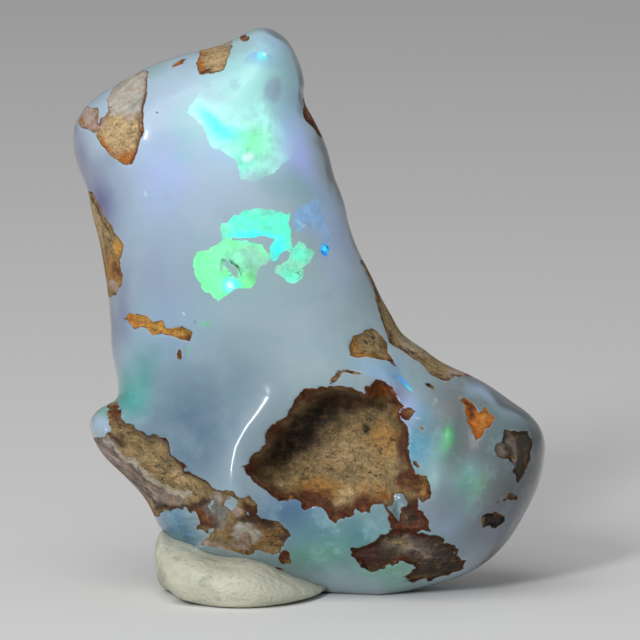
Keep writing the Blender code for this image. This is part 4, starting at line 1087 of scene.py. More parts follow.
def front_relief(points):
    """How far the front face lies behind its smooth swelling, in millimetres."""
    depth = pit_depth(points)
    ledge = smooth_step(distance_inside(points, LEDGE) / LEDGE_EDGE)
    depth += LEDGE_STEP * ledge * smooth_step((LEDGE_ENDS_AT - points[:, 0]) / LEDGE_FADE)
    for corners, worn in FRONT_PATCHES:
        depth += worn * smooth_step(distance_inside(points, corners) / PATCH_EDGE)
    rock = np.clip(depth / GRAIN_STARTS, 0.0, 1.0)
    return depth + rock * grain(points, FRONT_GRAIN, SEEDS["front grain"]) - shelf_roll(points)


def back_relief(points, rock_reach):
    """The back's rough skin, with its polished windows standing proud of it."""
    skin = smooth_step((rock_reach + 0.5 * BACK_SKIN_EDGE) / BACK_SKIN_EDGE)
    return skin * (BACK_SKIN_WORN + grain(points, BACK_GRAIN, SEEDS["back grain"]))


def oval(points, across, up, reach_across, reach_up, turn):
    """Share of the way from an oval's middle, 0, to its edge, 1."""
    angle = math.radians(turn)
    x = points[:, 0] - across
    y = points[:, 1] - up
    along = (x * math.cos(angle) + y * math.sin(angle)) / reach_across
    beside = (y * math.cos(angle) - x * math.sin(angle)) / reach_up
    return np.hypot(along, beside)


def oval_reach(points, row):
    """Distance into an oval, from its across, up, reach across, reach up and turn."""
    return (1.0 - oval(points, *row)) * min(row[2], row[3])


def front_rock(points):
    """Distance into the host rock on the front, below zero on the opal."""
    reach = distance_inside(points, PIT_RIM)
    reach = np.maximum(reach, distance_inside(points, LEDGE_ROCK))
    for corners, _ in FRONT_PATCHES:
        reach = np.maximum(reach, distance_inside(points, corners))
    for corners in ROCK_WINDOWS:
        reach = np.minimum(reach, -distance_inside(points, corners))
    for row in ROCK_SPOTS:
        reach = np.maximum(reach, oval_reach(points, row))
    return reach


def back_rock(points, edge):
    """Distance into the rough skin of the back, below zero on the opal.

    Opal shows in worn windows and in a rim that wraps round from the front, wide
    here and narrow there. Rock that meets the outline at the front carries on.
    """
    started = smooth_step(edge / BACK_EDGE_STARTS)[:, None]
    moved = points + started * (ragged(points, BACK_EDGE, SEEDS["back edge"]) - points)
    reach = np.full(len(points), REACH_LIMIT)
    for row in BACK_WINDOWS:
        reach = np.minimum(reach, -oval_reach(moved, row))
    for row in BACK_ISLANDS:
        reach = np.maximum(reach, oval_reach(moved, row))
    wrap = WRAP_WIDTH + grain(points, WRAP_WANDER, SEEDS["wrap"])
    reach = np.minimum(reach, edge - wrap)
    return np.maximum(reach, np.minimum(front_rock(moved), CARRIED_OVER - edge))


def oval_cover(points, across, up, reach_across, reach_up, turn, softness, strength):
    """How much an oval mark covers: its strength up to the soft rim, nothing beyond it."""
    far = oval(points, across, up, reach_across, reach_up, turn)
    return strength * smooth_step((1.0 - far) / softness)


def laid_over(colour, cover, finish):
    """A finish laid over a colour, by how much it covers each point."""
    return colour + cover[:, None] * (linear(finish)[None, :] - colour)


def all_of(points, finish):
    """One finish for every point."""
    return np.repeat(linear(finish)[None, :], len(points), axis=0)


def paint(points, colour, marks):
    """Lay marks over a colour in order."""
    for *row, finish in marks:
        colour = laid_over(colour, oval_cover(points, *row), finish)
    return colour


def draw_lines(points, colour, lines):
    """Draw thin lines over a colour, with soft sides."""
    for chain, half_width, strength, finish in lines:
        near = distance_to_chain(points, chain)
        colour = laid_over(colour, strength * smooth_step(LINE_SIDES - near / half_width), finish)
    return colour


def rusty_rim(points, colour):
    """Rust and dark iron along the rim of the pit, wider in some places than in others."""
    inside = distance_inside(points, PIT_RIM)
    wander = grain(points, RUST_WANDER, SEEDS["rust"])
    for width, strength, finish in PIT_RUST:
        cover = strength * smooth_step((width + wander - inside) / RUST_FADE)
        colour = laid_over(colour, cover * (inside > RUST_OUTSIDE), finish)
    return colour


def blended_sides(front, back, edge, is_front):
    """One side's colour and the other's, with the front's running on round the edge."""
    share = np.where(is_front, 0.0, smooth_step(edge / SIDES_BLEND))[:, None]
    return front + share * (back - front)


def milky_colour(points, edge, is_front):
    """Colour of the milk under the polish, with the dark band along the right edge."""
    moved = points + grain(points, MILK_DRIFT, SEEDS["milk drift"])[:, None]
    plain = all_of(points, "mist")
    front = paint(moved, plain, MILKY_MARKS)
    colour = blended_sides(front, paint(moved, plain, BACK_MARKS), edge, is_front)
    right = smooth_step((points[:, 0] + BAND_SLANT * points[:, 1] - BAND_STARTS) / BAND_START_FADE)
    width = BAND_WIDTH + grain(points, BAND_WANDER, SEEDS["band"])
    return laid_over(colour, smooth_step((width - edge) / BAND_FADE) * right * BAND_STRENGTH, "driftwood")


def nearest_flash(count, flashes):
    """Distance into the nearest flash, and its colour with its strength last.

    Each flash is given by every point's distance into it, its finish and its strength.
    """
    reach = np.full(count, -REACH_LIMIT)
    values = np.zeros((count, 4))
    for inside, finish, strength in flashes:
        nearer = inside > reach
        reach = np.where(nearer, inside, reach)
        values[nearer] = np.append(linear(finish)[:3], strength)
    return reach, values


def flash_values(points):
    """Distance into the nearest flash of the front, and its colour and strength."""
    flashes = [(distance_inside(points, corners), *look) for corners, *look in FLASHES]
    reach, values = nearest_flash(len(points), flashes)
    strength = values[:, 3]
    for row in FLASH_FADES:
        strength = strength * (1.0 - oval_cover(points, *row))
    return reach, np.column_stack([paint(points, values, FLASH_MARKS)[:, :3], strength])


def crazing(points):
    """How much the flashes have crazed, from 0 to 1."""
    return np.max([oval_cover(points, *row) for row in FLASH_CRAZING], axis=0)


def back_flash_values(points):
    """Distance into the nearest flash of the back, and its colour and strength."""
    moved = ragged(points, BACK_EDGE, SEEDS["back flashes"])
    flashes = [(oval_reach(moved, row[:5]), *row[5:]) for row in BACK_FLASHES]
    return nearest_flash(len(points), flashes)


def back_rock_colour(points):
    """Colour of the rough skin on the back: sand, umber and rust in ragged drifts."""
    colour = all_of(points, "tan")
    for finish, cell, strength, seed in BACK_DRIFTS:
        sizes = [(part * cell, height) for part, height in DRIFT_LAYERS]
        drift = smooth_step(DRIFT_CONTRAST * grain(points, sizes, seed) - DRIFT_STARTS)
        colour = laid_over(colour, strength * drift, finish)
    return colour


def stone_outline():
    """Left and right edges of the stone as fine chains, and the closed outline."""
    left = rounded_chain(LEFT_EDGE)
    right = rounded_chain(RIGHT_EDGE)
    closed = np.vstack([left, right[-2:0:-1]])
    return left, right, closed


def spaced(count, cosine_share):
    """Numbers from -1 to 1, closer together towards both ends."""
    turn = np.linspace(0.0, math.pi, count + 1)
    even = turn / math.pi * 2.0 - 1.0
    return -cosine_share * np.cos(turn) + (1.0 - cosine_share) * even


def row_heights(rows):
    """Heights of the rows on the board, closer at both ends and on the rough lower part."""
    share = np.linspace(0.0, 1.0, HEIGHT_STEPS)
    up = SOLE_UP + share * (CROWN_UP - SOLE_UP)
    ends = 1.0 / (END_SHARPNESS + share) + 1.0 / (1.0 + END_SHARPNESS - share)
    density = 1.0 + CLOSER_ENDS * ends + CLOSER_LOW * smooth_step((CLOSER_BELOW - up) / CLOSER_FADE)
    total = np.concatenate([[0.0], np.cumsum(0.5 * (density[1:] + density[:-1]))])
    wanted = np.linspace(0.0, total[-1], rows + 1)[1:-1]
    return np.interp(wanted, total, up)[::-1]


def stone_surface(rows, front_columns, back_columns, grown):
    """The stone's skin as a function of height on the board and place round the ring.

    A ring runs from the left edge over the front to the right edge, and back over
    the rear. The depth is a quarter ellipse of the distance from the outline, with
    swellings added and the relief taken away. It returns the rings, the two poles,
    and for each point its place, the same moved by wear, its edge distance and side.
    """
    left, right, closed = stone_outline()
    ups = row_heights(rows)
    low = np.interp(ups, left[::-1, 1], left[::-1, 0])
    high = np.interp(ups, right[::-1, 1], right[::-1, 0])
    front = spaced(front_columns, CLOSER_COLUMNS)
    back = spaced(back_columns, CLOSER_COLUMNS)[-2:0:-1]
    share = np.concatenate([front, back])
    across = 0.5 * (low + high)[:, None] + 0.5 * (high - low)[:, None] * share[None, :]
    up = np.repeat(ups[:, None], len(share), axis=1)
    board = np.column_stack([across.ravel(), up.ravel()])
    is_front = np.tile(np.arange(len(share)) <= front_columns, len(ups))
    rim = np.tile(np.abs(share) > RIM_SHARE, len(ups))

    edge = np.where(rim, 0.0, soft_edge_distance(board, closed))
    near = np.clip(edge / EDGE_ROUNDING, 0.0, 1.0)
    curve = np.sqrt(1.0 - (1.0 - near) ** 2)
    round_side = FRONT_DEPTH * np.where(is_front, 1.0 - curve, 1.0 + curve)
    flat = np.column_stack([board, round_side])
    fade = smooth_step(near / FORM_FADE)
    lower = smooth_step((RAGGED_BELOW - board[:, 1:]) / RAGGED_FADE)
    moved = ragged(flat, RAGGED_EDGE, SEEDS["ragged edge"])
    worn = flat + (UPPER_RAGGED + LOWER_RAGGED_MORE * lower) * (moved - flat)
    waves = fade * grain(flat, POLISH_WAVES, SEEDS["polish"])
    form = swellings(flat, FRONT_SWELLINGS) + crest(flat) - left_face(flat)
    front_bulge = FRONT_DEPTH * curve + fade * form + waves
    back_bulge = BACK_DEPTH * curve + fade * swellings(flat, BACK_SWELLINGS) + waves
    front_y = np.minimum(-front_bulge + front_relief(worn) * curve, -THINNEST_HALF * curve)
    skin_reach = back_rock(worn, edge)
    back_y = np.maximum(back_bulge - back_relief(worn, skin_reach) * curve, THINNEST_HALF * curve)
    depth = np.where(rim, 0.0, np.where(is_front, front_y, back_y))

    lift = np.where(is_front, depth * math.sin(BOARD_LEAN), 0.0)
    nearer = np.where(is_front, depth, 0.0)[:, None] / SIGHT_DISTANCE
    true = board + (board - np.array(SIGHT_CENTRE)) * nearer
    height = (true[:, 1] - lift) / math.cos(BOARD_LEAN)
    rings = np.column_stack([true[:, 0], depth, height]).reshape(len(ups), len(share), 3)
    top = np.array([left[0, 0], 0.0, CROWN_UP / math.cos(BOARD_LEAN)])
    bottom = np.array([left[-1, 0], 0.0, SOLE_UP])
    if grown:
        rings, top, bottom = grow(rings, top, bottom, grown)
    return rings, top, bottom, flat, worn, edge, is_front


def grow(rings, top, bottom, amount):
    """Push every ring point outwards, square to the surface, by the amount."""
    poles = [np.repeat(pole[None, None, :], rings.shape[1], axis=1) for pole in (top, bottom)]
    upper = np.vstack([poles[0], rings[:-1]])
    lower = np.vstack([rings[1:], poles[1]])
    around = np.roll(rings, -1, axis=1) - np.roll(rings, 1, axis=1)
    normal = np.cross(lower - upper, around)
    normal /= np.maximum(np.linalg.norm(normal, axis=2, keepdims=True), 1e-9)
    lifted = np.array([0.0, 0.0, amount])
    return rings + normal * amount, top + lifted, bottom - lifted


def rings_to_piece(name, rings, top, bottom):
    """Skin rings of points, from the top down, into one closed piece.

    Vertex 0 is the top pole, then come the rings in order, then the bottom pole.
    """
    rows, count = rings.shape[:2]
    points = np.vstack([top[None, :], rings.reshape(-1, 3), bottom[None, :]]) * MM
    index = 1 + np.arange(rows * count).reshape(rows, count)
    following = np.roll(index, -1, axis=1)
    quads = np.stack([index[:-1], index[1:], following[1:], following[:-1]], axis=2).reshape(-1, 4)
    crown = np.stack([np.zeros(count, int), index[0], following[0]], axis=1)
    base = np.stack([np.full(count, rows * count + 1), following[-1], index[-1]], axis=1)
    mesh = bpy.data.meshes.new(name)
    mesh.from_pydata(points.tolist(), [], crown.tolist() + quads.tolist() + base.tolist())
    mesh.shade_smooth()
    piece = bpy.data.objects.new(name, mesh)
    bpy.context.scene.collection.objects.link(piece)
    return piece


def with_poles(values):
    """Point values of the rings, with the first and last repeated for the two poles."""
    return np.concatenate([values[:1], values, values[-1:]])


def store_value(piece, name, values):
    """Keep one number per point in the mesh."""
    layer = piece.data.attributes.new(name, "FLOAT", "POINT")
    layer.data.foreach_set("value", with_poles(values).astype(np.float32))


def store_colour(piece, name, values):
    """Keep one colour with its alpha per point in the mesh."""
    layer = piece.data.attributes.new(name, "FLOAT_COLOR", "POINT")
    layer.data.foreach_set("color", with_poles(values).astype(np.float32).ravel())


def fill(tree, node, inputs):
    """Fill a node's inputs with values or links, and return the node."""
    for name, value in inputs.items():
        if isinstance(value, bpy.types.NodeSocket):
            tree.links.new(value, node.inputs[name])
        else:
            node.inputs[name].default_value = value
    return node


def wire(tree, kind, inputs=None, **settings):
    """Add a node, set it up, and fill its inputs."""
    node = tree.nodes.new(kind)
    for name, value in settings.items():
        setattr(node, name, value)
    return fill(tree, node, inputs or {})


def math_of(tree, operation, first, second=0.0):
    """One Math node's result."""
    return wire(tree, "ShaderNodeMath", {0: first, 1: second}, operation=operation).outputs[0]


def product(tree, first, second):
    """Two values multiplied."""
    return math_of(tree, "MULTIPLY", first, second)


def mixed(tree, factor, first, second, blend="MIX"):
    """One Mix Colour node's result."""
    node = wire(tree, "ShaderNodeMix", {0: factor, 6: first, 7: second},
                data_type="RGBA", blend_type=blend)
    return node.outputs[2]


def shaded(tree, colour, value):
    """A colour made lighter or darker by a value."""
    grey = wire(tree, "ShaderNodeCombineColor", {0: value, 1: value, 2: value})
    return mixed(tree, 1.0, colour, grey.outputs[0], "MULTIPLY")


def ramped(tree, value, low, high, to_low=0.0, to_high=1.0):
    """Rise smoothly between two values of the input."""
    node = wire(tree, "ShaderNodeMapRange",
                {"Value": value, "From Min": low, "From Max": high,
                 "To Min": to_low, "To Max": to_high}, interpolation_type="SMOOTHSTEP")
    return node.outputs["Result"]


def noise_of(tree, vector, scale, detail, roughness):
    """One Noise Texture node's value."""
    node = wire(tree, "ShaderNodeTexNoise",
                {"Vector": vector, "Scale": scale, "Detail": detail, "Roughness": roughness})
    return node.outputs["Fac"]


def patches(tree, vector, name, scale=None):
    """Patchy noise by its name, with cells to a metre, or to a grain where a scale is given."""
    cells, detail, roughness, *ramp = PATCHES[name]
    if scale is not None:
        cells = product(tree, scale, cells)
    return ramped(tree, noise_of(tree, vector, cells, detail, roughness), *ramp)


def relief(tree, height, distance):
    """One Bump node's normal, from a height and the distance that it stands for."""
    inputs = {"Height": height, "Distance": distance, "Strength": BUMP_STRENGTH}
    return wire(tree, "ShaderNodeBump", inputs).outputs["Normal"]


def rgba(name):
    """A finish of the palette as a socket's colour."""
    return (*linear(name)[:3].tolist(), 1.0)


def new_group(name, inputs, outputs):
    """A shader node group with named sockets, the outputs of its input node and its end node."""
    tree = bpy.data.node_groups.new(name, "ShaderNodeTree")
    for label, kind, value in inputs:
        socket = tree.interface.new_socket(name=label, in_out="INPUT", socket_type=kind)
        if value is not None:
            socket.default_value = value
    for label, kind in outputs:
        tree.interface.new_socket(name=label, in_out="OUTPUT", socket_type=kind)
    source = tree.nodes.new("NodeGroupInput")
    return tree, source.outputs, tree.nodes.new("NodeGroupOutput")


def place_group(tree, group, inputs):
    """Put a node group into a tree and return its outputs."""
    return wire(tree, "ShaderNodeGroup", inputs, node_tree=group).outputs


def mineral_grain_group():
    """Grains of a few sizes: their light and dark, the dark pores and a height."""
    tree, given, result = new_group(
        "mineral grain",
        [("Vector", "NodeSocketVector", None), ("Size", "NodeSocketFloat", 0.00018)],
        [("Light", "NodeSocketFloat"), ("Pores", "NodeSocketFloat"), ("Height", "NodeSocketFloat")])
    vector = given["Vector"]
    scale = math_of(tree, "DIVIDE", 1.0, given["Size"])
    layered = wire(tree, "ShaderNodeVectorMath", {0: vector, 1: LAYER_STRETCH},
                   operation="MULTIPLY").outputs[0]
    light = 0.0
    for in_layers, cells, detail, roughness, share in GRAIN_LAYERS:
        place = layered if in_layers else vector
        noise = noise_of(tree, place, product(tree, scale, cells), detail, roughness)
        light = math_of(tree, "ADD", light, product(tree, math_of(tree, "SUBTRACT", noise, 0.5), share))
    pores = product(tree, patches(tree, layered, "pore holes", scale),
                    patches(tree, vector, "porous places", scale))
    fill(tree, result, {"Light": light, "Pores": pores, "Height": math_of(tree, "SUBTRACT", light, pores)})
    return tree


def broken_edge_group():
    """A mask with a ragged border, from a distance in millimetres."""
    tree, given, result = new_group(
        "broken edge",
        [("Vector", "NodeSocketVector", None), ("Reach", "NodeSocketFloat", 0.0),
         ("Raggedness", "NodeSocketFloat", 0.06), ("Softness", "NodeSocketFloat", 0.03)],
        [("Mask", "NodeSocketFloat")])
    wander = math_of(tree, "SUBTRACT", noise_of(tree, given["Vector"], *EDGE_NOISE), 0.5)
    reach = math_of(tree, "ADD", given["Reach"], product(tree, wander, given["Raggedness"]))
    low = product(tree, given["Softness"], -1.0)
    fill(tree, result, {"Mask": ramped(tree, reach, low, given["Softness"])})
    return tree


def host_rock_group(grain_group):
    """Host rock: tinted grains, dark pores with painted shade in them, and rust that comes and goes at its
    border.
    """
    tree, given, result = new_group(
        "host rock",
        [("Vector", "NodeSocketVector", None), ("Tint", "NodeSocketColor", rgba("tan")),
         ("Grain", "NodeSocketFloat", 1.0), ("Reach", "NodeSocketFloat", 1.0),
         ("Grain Size", "NodeSocketFloat", 0.00018)],
        [("Color", "NodeSocketColor"), ("Height", "NodeSocketFloat")])
    vector, grainy, reach = given["Vector"], given["Grain"], given["Reach"]
    grains = place_group(tree, grain_group, {"Vector": vector, "Size": given["Grain Size"]})
    light = wire(tree, "ShaderNodeMath", {0: grains["Light"], 1: grainy, 2: ROCK_LIGHT},
                 operation="MULTIPLY_ADD").outputs[0]
    colour = shaded(tree, given["Tint"], math_of(tree, "MAXIMUM", light, ROCK_DARKEST))
    colour = mixed(tree, patches(tree, vector, "rock stain"), colour, rgba("ochre"))
    specks = product(tree, ramped(tree, grains["Light"], *ROCK_SPECKS), grainy)
    colour = mixed(tree, specks, colour, rgba("sand"))
    border = product(tree, ramped(tree, reach, *RUST_BORDER), patches(tree, vector, "rusty places"))
    colour = mixed(tree, border, colour, rgba("rust"))
    lip = product(tree, ramped(tree, reach, *DARK_LIP), patches(tree, vector, "dark lip"))
    colour = mixed(tree, lip, colour, rgba("dark_red"))
    # Pores darkened: partly their own dark, partly painted shade in the pits
    pores = product(tree, product(tree, grains["Pores"], grainy), PORE_SHADE)
    fill(tree, result, {"Color": mixed(tree, pores, colour, rgba("black_specks_and_shade")),
                        "Height": product(tree, grains["Height"], grainy)})
    return tree


def milk_group():
    """Milky opal: the stored tint with faint clouds, and a painted highlight along the host rock."""
    tree, given, result = new_group(
        "opal milk",
        [("Vector", "NodeSocketVector", None), ("Tint", "NodeSocketColor", rgba("mist")),
         ("Flecks", "NodeSocketFloat", 0.0), ("Reach", "NodeSocketFloat", -5.0)],
        [("Color", "NodeSocketColor")])
    vector = given["Vector"]
    colour = mixed(tree, patches(tree, vector, "pale cloud"), given["Tint"], rgba("snow"))
    colour = mixed(tree, patches(tree, vector, "deep veil"), colour, rgba("slate"))
    for name, finish in MILK_FLECKS:
        flecks = product(tree, patches(tree, vector, name), given["Flecks"])
        colour = mixed(tree, flecks, colour, rgba(finish))
    # Painted highlight: a broken pale rim along the host rock
    rim_highlight = product(tree, ramped(tree, given["Reach"], *RIM_HIGHLIGHT),
                     patches(tree, vector, "broken rim highlight"))
    fill(tree, result, {"Color": mixed(tree, rim_highlight, colour, rgba("snow"))})
    return tree


def flash_group(edge_group):
    """Play of colour: a crisp broken patch with a grainy shimmer and hair cracks."""
    tree, given, result = new_group(
        "play of colour",
        [("Vector", "NodeSocketVector", None), ("Tint", "NodeSocketColor", rgba("ice")),
         ("Strength", "NodeSocketFloat", 1.0), ("Reach", "NodeSocketFloat", -5.0),
         ("Crazing", "NodeSocketFloat", 0.0)],
        [("Color", "NodeSocketColor"), ("Mask", "NodeSocketFloat")])
    vector = given["Vector"]
    edge = place_group(tree, edge_group, {"Vector": vector, "Reach": given["Reach"],
                                          "Raggedness": 0.14, "Softness": 0.030})
    colour = shaded(tree, given["Tint"], patches(tree, vector, "flash shade"))
    colour = mixed(tree, patches(tree, vector, "flash shimmer"), colour, rgba("glow"))
    bend = wire(tree, "ShaderNodeTexNoise", {"Vector": vector, "Scale": CRACK_BEND_CELLS}).outputs["Color"]
    bent = wire(tree, "ShaderNodeVectorMath", {0: bend, 1: CRACK_BEND, 2: vector}, operation="MULTIPLY_ADD")
    cells = wire(tree, "ShaderNodeTexVoronoi", {"Vector": bent.outputs[0], "Scale": CRACK_CELLS},
                 feature="DISTANCE_TO_EDGE")
    crack = product(tree, ramped(tree, cells.outputs["Distance"], *CRACK_LINE), given["Crazing"])
    fill(tree, result, {"Color": mixed(tree, crack, colour, rgba("driftwood")),
                        "Mask": product(tree, edge["Mask"], given["Strength"])})
    return tree


def stored(tree, name):
    """An attribute node that reads what the mesh keeps under a name."""
    return wire(tree, "ShaderNodeAttribute", attribute_name=name).outputs


def blank_material(name):
    """A new material with its tree, its surface shader and the object's coordinates."""
    material = bpy.data.materials.new(name)
    material.use_nodes = True
    tree = material.node_tree
    place = tree.nodes.new("ShaderNodeTexCoord").outputs["Object"]
    return material, tree, tree.nodes["Principled BSDF"], place


def host_rock(tree, place, settings, groups):
    """The host rock's colour and height, from the tint and the border that the mesh keeps."""
    tint = stored(tree, "rock_tint")
    return place_group(tree, groups["rock"], {
        "Vector": place, "Tint": tint["Color"], "Grain": tint["Alpha"],
        "Reach": stored(tree, "rock_reach")["Fac"], "Grain Size": settings.grain_size})


def opal_material(settings, groups):
    """Polished milky opal that turns to host rock where the rock comes through."""
    material, tree, shader, place = blank_material("opal_polished")
    rock_reach = stored(tree, "rock_reach")["Fac"]
    edge = place_group(tree, groups["edge"], {
        "Vector": place, "Reach": rock_reach, "Raggedness": 0.07, "Softness": 0.025})["Mask"]
    tint = stored(tree, "milk_tint")
    milk = place_group(tree, groups["milk"], {
        "Vector": place, "Tint": tint["Color"], "Flecks": tint["Alpha"], "Reach": rock_reach})
    tint = stored(tree, "flash_tint")
    flash = place_group(tree, groups["flash"], {
        "Vector": place, "Tint": tint["Color"], "Strength": tint["Alpha"],
        "Crazing": stored(tree, "flash_crazing")["Fac"], "Reach": stored(tree, "flash_reach")["Fac"]})
    rock = host_rock(tree, place, settings, groups)
    opal = mixed(tree, flash["Mask"], milk["Color"], flash["Color"])
    clean = math_of(tree, "SUBTRACT", 1.0, edge)
    scuffs = product(tree, noise_of(tree, place, *SCUFF_NOISE), SCUFF_HEIGHT)
    height = math_of(tree, "ADD", scuffs, product(tree, rock["Height"], edge))
    fill(tree, shader, {
        "Base Color": mixed(tree, edge, opal, rock["Color"]),
        "Roughness": ramped(tree, edge, 0.0, 1.0, OPAL_ROUGHNESS, ROCK_ROUGHNESS),
        "Coat Weight": product(tree, clean, settings.polish),
        # Painted glow: the flashes also give out their colour as emission, though they are no lamp
        "Emission Color": mixed(tree, product(tree, flash["Mask"], clean), (0, 0, 0, 1), flash["Color"]),
        "Normal": relief(tree, height, STONE_BUMP),
        "Emission Strength": settings.painted_flash_glow, "IOR": 1.44, "Specular IOR Level": 0.20,
        "Coat Roughness": 0.15, "Coat IOR": 1.36, "Subsurface Weight": settings.milkiness,
        "Subsurface Radius": (1.0, 1.1, 1.3), "Subsurface Scale": settings.light_reach})
    return material


def rock_material(settings, groups):
    """Bare host rock, dry and rough."""
    material, tree, shader, place = blank_material("opal_host_rock")
    rock = host_rock(tree, place, settings, groups)
    fill(tree, shader, {"Base Color": rock["Color"], "Roughness": ROCK_ROUGHNESS,
                        "Normal": relief(tree, rock["Height"], STONE_BUMP)})
    return material


def putty_material(settings, grain_group):
    """Matt off-white putty with grey smears and fine creases."""
    material, tree, shader, place = blank_material("putty_matt")
    smear = (*settings.smear, 1.0)
    grains = place_group(tree, grain_group, {"Vector": place, "Size": PUTTY_GRAIN_SIZE})
    colour = mixed(tree, patches(tree, place, "putty smears"), (*settings.colour, 1.0), smear)
    colour = shaded(tree, colour, patches(tree, place, "putty tone"))
    creases = noise_of(tree, place, *CREASE_NOISE)
    height = math_of(tree, "ADD", creases, product(tree, grains["Height"], PUTTY_GRAIN_HEIGHT))
    fill(tree, shader, {
        "Base Color": mixed(tree, product(tree, grains["Pores"], PUTTY_PORES), colour, smear),
        "Normal": relief(tree, height, PUTTY_BUMP), "Roughness": 0.62, "Subsurface Weight": 0.12,
        "Subsurface Radius": (1.0, 0.9, 0.7), "Subsurface Scale": 0.0004})
    return material


def shader_groups():
    """The node groups that the materials share, made once."""
    made = bpy.data.node_groups
    grains = made.get("mineral grain") or mineral_grain_group()
    edge = made.get("broken edge") or broken_edge_group()
    return {
        "grain": grains,
        "edge": edge,
        "rock": made.get("host rock") or host_rock_group(grains),
        "milk": made.get("opal milk") or milk_group(),
        "flash": made.get("play of colour") or flash_group(edge),
    }


class OPAL_OT_make_stone(bpy.types.Operator):
    """Make the stone: opal and host rock grown together in one closed skin"""

    bl_idname = "opal_nugget.make_stone"
    bl_label = "Make the stone"

    def execute(self, context):
        settings = context.scene.opal_stone
        rings, top, bottom, flat, worn, edge, is_front = stone_surface(*STONE_FINENESS, 0.0)
        rings[:, :, 2] = np.maximum(rings[:, :, 2], 0.0)
        bottom[2] = 0.0
        stone = rings_to_piece("opal_stone", rings, top, bottom)
        reach = np.where(is_front, front_rock(worn), back_rock(worn, edge))
        store_value(stone, "rock_reach", reach)
        flash_reach, flash_tint = flash_values(ragged(flat, FLASH_EDGE, SEEDS["flash edge"]))
        back_reach, back_tint = back_flash_values(flat)
        store_value(stone, "flash_reach", np.where(is_front, flash_reach, back_reach))
        store_colour(stone, "flash_tint", np.where(is_front[:, None], flash_tint, back_tint))
        store_value(stone, "flash_crazing", crazing(flat))
        store_colour(stone, "milk_tint", milky_colour(flat, edge, is_front))
        marked = ragged(worn, MARK_EDGE, SEEDS["mark edge"])
        rock = rusty_rim(worn, paint(marked, all_of(marked, "tan"), ROCK_MARKS))
        rock = draw_lines(worn, rock, ROCK_LINES)
        rock = blended_sides(rock, back_rock_colour(worn), edge, is_front)
        store_colour(stone, "rock_tint", rock)
        groups = shader_groups()
        stone.data.materials.append(opal_material(settings, groups))
        stone.data.materials.append(rock_material(settings, groups))
        deep = with_poles(reach) > ROCK_ALONE_FROM
        stone.data.polygons.foreach_set("material_index", faces_all_true(stone.data, deep))
        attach(stone, BODY)
        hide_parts("opal")
        return {"FINISHED"}


def faces_all_true(mesh, flags):
    """1 for each face whose corners are all flagged, else 0."""
    corners = np.empty(len(mesh.loops), dtype=np.int32)
    mesh.loops.foreach_get("vertex_index", corners)
    starts = np.empty(len(mesh.polygons), dtype=np.int32)
    mesh.polygons.foreach_get("loop_start", starts)
    return np.minimum.reduceat(flags[corners].astype(np.int32), starts)


def putty_rise(across):
    """Height of the putty at a place across, growing towards the left."""
    return PUTTY_LOW_END - PUTTY_RISE_PER_MM * (across - PUTTY_LOW_AT)


def putty_surface():
    """The squashed lump as rings from the top down.

    The table of rings is read along its own length at even steps, each ring is an
    ellipse, and the rise is scaled by a height that grows towards the left. Noise
    pushes the sides in and out for the finger marks and creases.
    """
    table = np.array(PUTTY_RINGS)
    run = np.concatenate([[0.0], np.cumsum(np.linalg.norm(np.diff(table, axis=0), axis=1))])
    wanted = np.linspace(0.0, run[-1], PUTTY_LEVELS)
    smooth = [np.interp(wanted, run, table[:, column]) for column in range(3)]
    for _ in range(PUTTY_ROUNDS):
        for column in smooth:
            column[1:-1] = 0.25 * column[:-2] + 0.5 * column[1:-1] + 0.25 * column[2:]
    wide, long, rise = (column[:, None] for column in smooth)
    rise = np.where(rise < PUTTY_FLAT_BELOW, 0.0, rise)
    turn = np.linspace(0.0, 2.0 * math.pi, PUTTY_SIDES, endpoint=False)[None, :]
    across = PUTTY_CENTRE[0] + PUTTY_REACH[0] * wide * np.cos(turn)
    along = PUTTY_CENTRE[1] + PUTTY_REACH[1] * long * np.sin(turn)
    starts, ends = fades(across, PUTTY_DENT_SPAN)
    height = rise * putty_rise(across) - PUTTY_DENT * rise * starts * ends
    flat = np.column_stack([across.ravel(), along.ravel(), height.ravel()])
    lumps = noise_sum(flat, PUTTY_LUMPS, SEEDS["putty lumps"])
    lumps += noise_sum(flat, PUTTY_CREASES, SEEDS["putty creases"])
    lumps *= smooth_step(flat[:, 2] / PUTTY_LUMP_STARTS)
    flat += lumps[:, None] * np.array([1.0, 1.0, PUTTY_LUMP_RISE])
    return flat.reshape(PUTTY_LEVELS, PUTTY_SIDES, 3)[::-1]


class OPAL_OT_make_putty(bpy.types.Operator):
    """Make the lump of putty with the bed that the stone has pressed into it"""

    bl_idname = "opal_nugget.make_putty"
    bl_label = "Make the putty"

    def execute(self, context):
        rings, top, bottom = stone_surface(*BED_FINENESS, PRESSED_IN)[:3]
        cutter = rings_to_piece("stone_bed", rings, top, bottom)
        centre = np.array([*PUTTY_CENTRE, 0.0])
        peak = np.array([*PUTTY_CENTRE, PUTTY_TOP_RISE * putty_rise(PUTTY_CENTRE[0])])
        putty = rings_to_piece("putty_lump", putty_surface(), peak, centre)
        bed = putty.modifiers.new("Bed pressed by the stone", "BOOLEAN")
        bed.operation = "DIFFERENCE"
        bed.solver = "EXACT"
        bed.object = cutter
        pressed = bpy.data.meshes.new_from_object(putty.evaluated_get(context.evaluated_depsgraph_get()))
        putty.modifiers.clear()
        putty.data = pressed
        putty.data.materials.clear()
        bpy.data.objects.remove(cutter, do_unlink=True)
        if len(putty.data.polygons) < PUTTY_SIDES:
            raise RuntimeError("The stone's bed left nothing of the putty")
        putty.data.materials.append(putty_material(context.scene.opal_putty, shader_groups()["grain"]))
        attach(putty, BODY)
        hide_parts("mounting_putty")
        return {"FINISHED"}


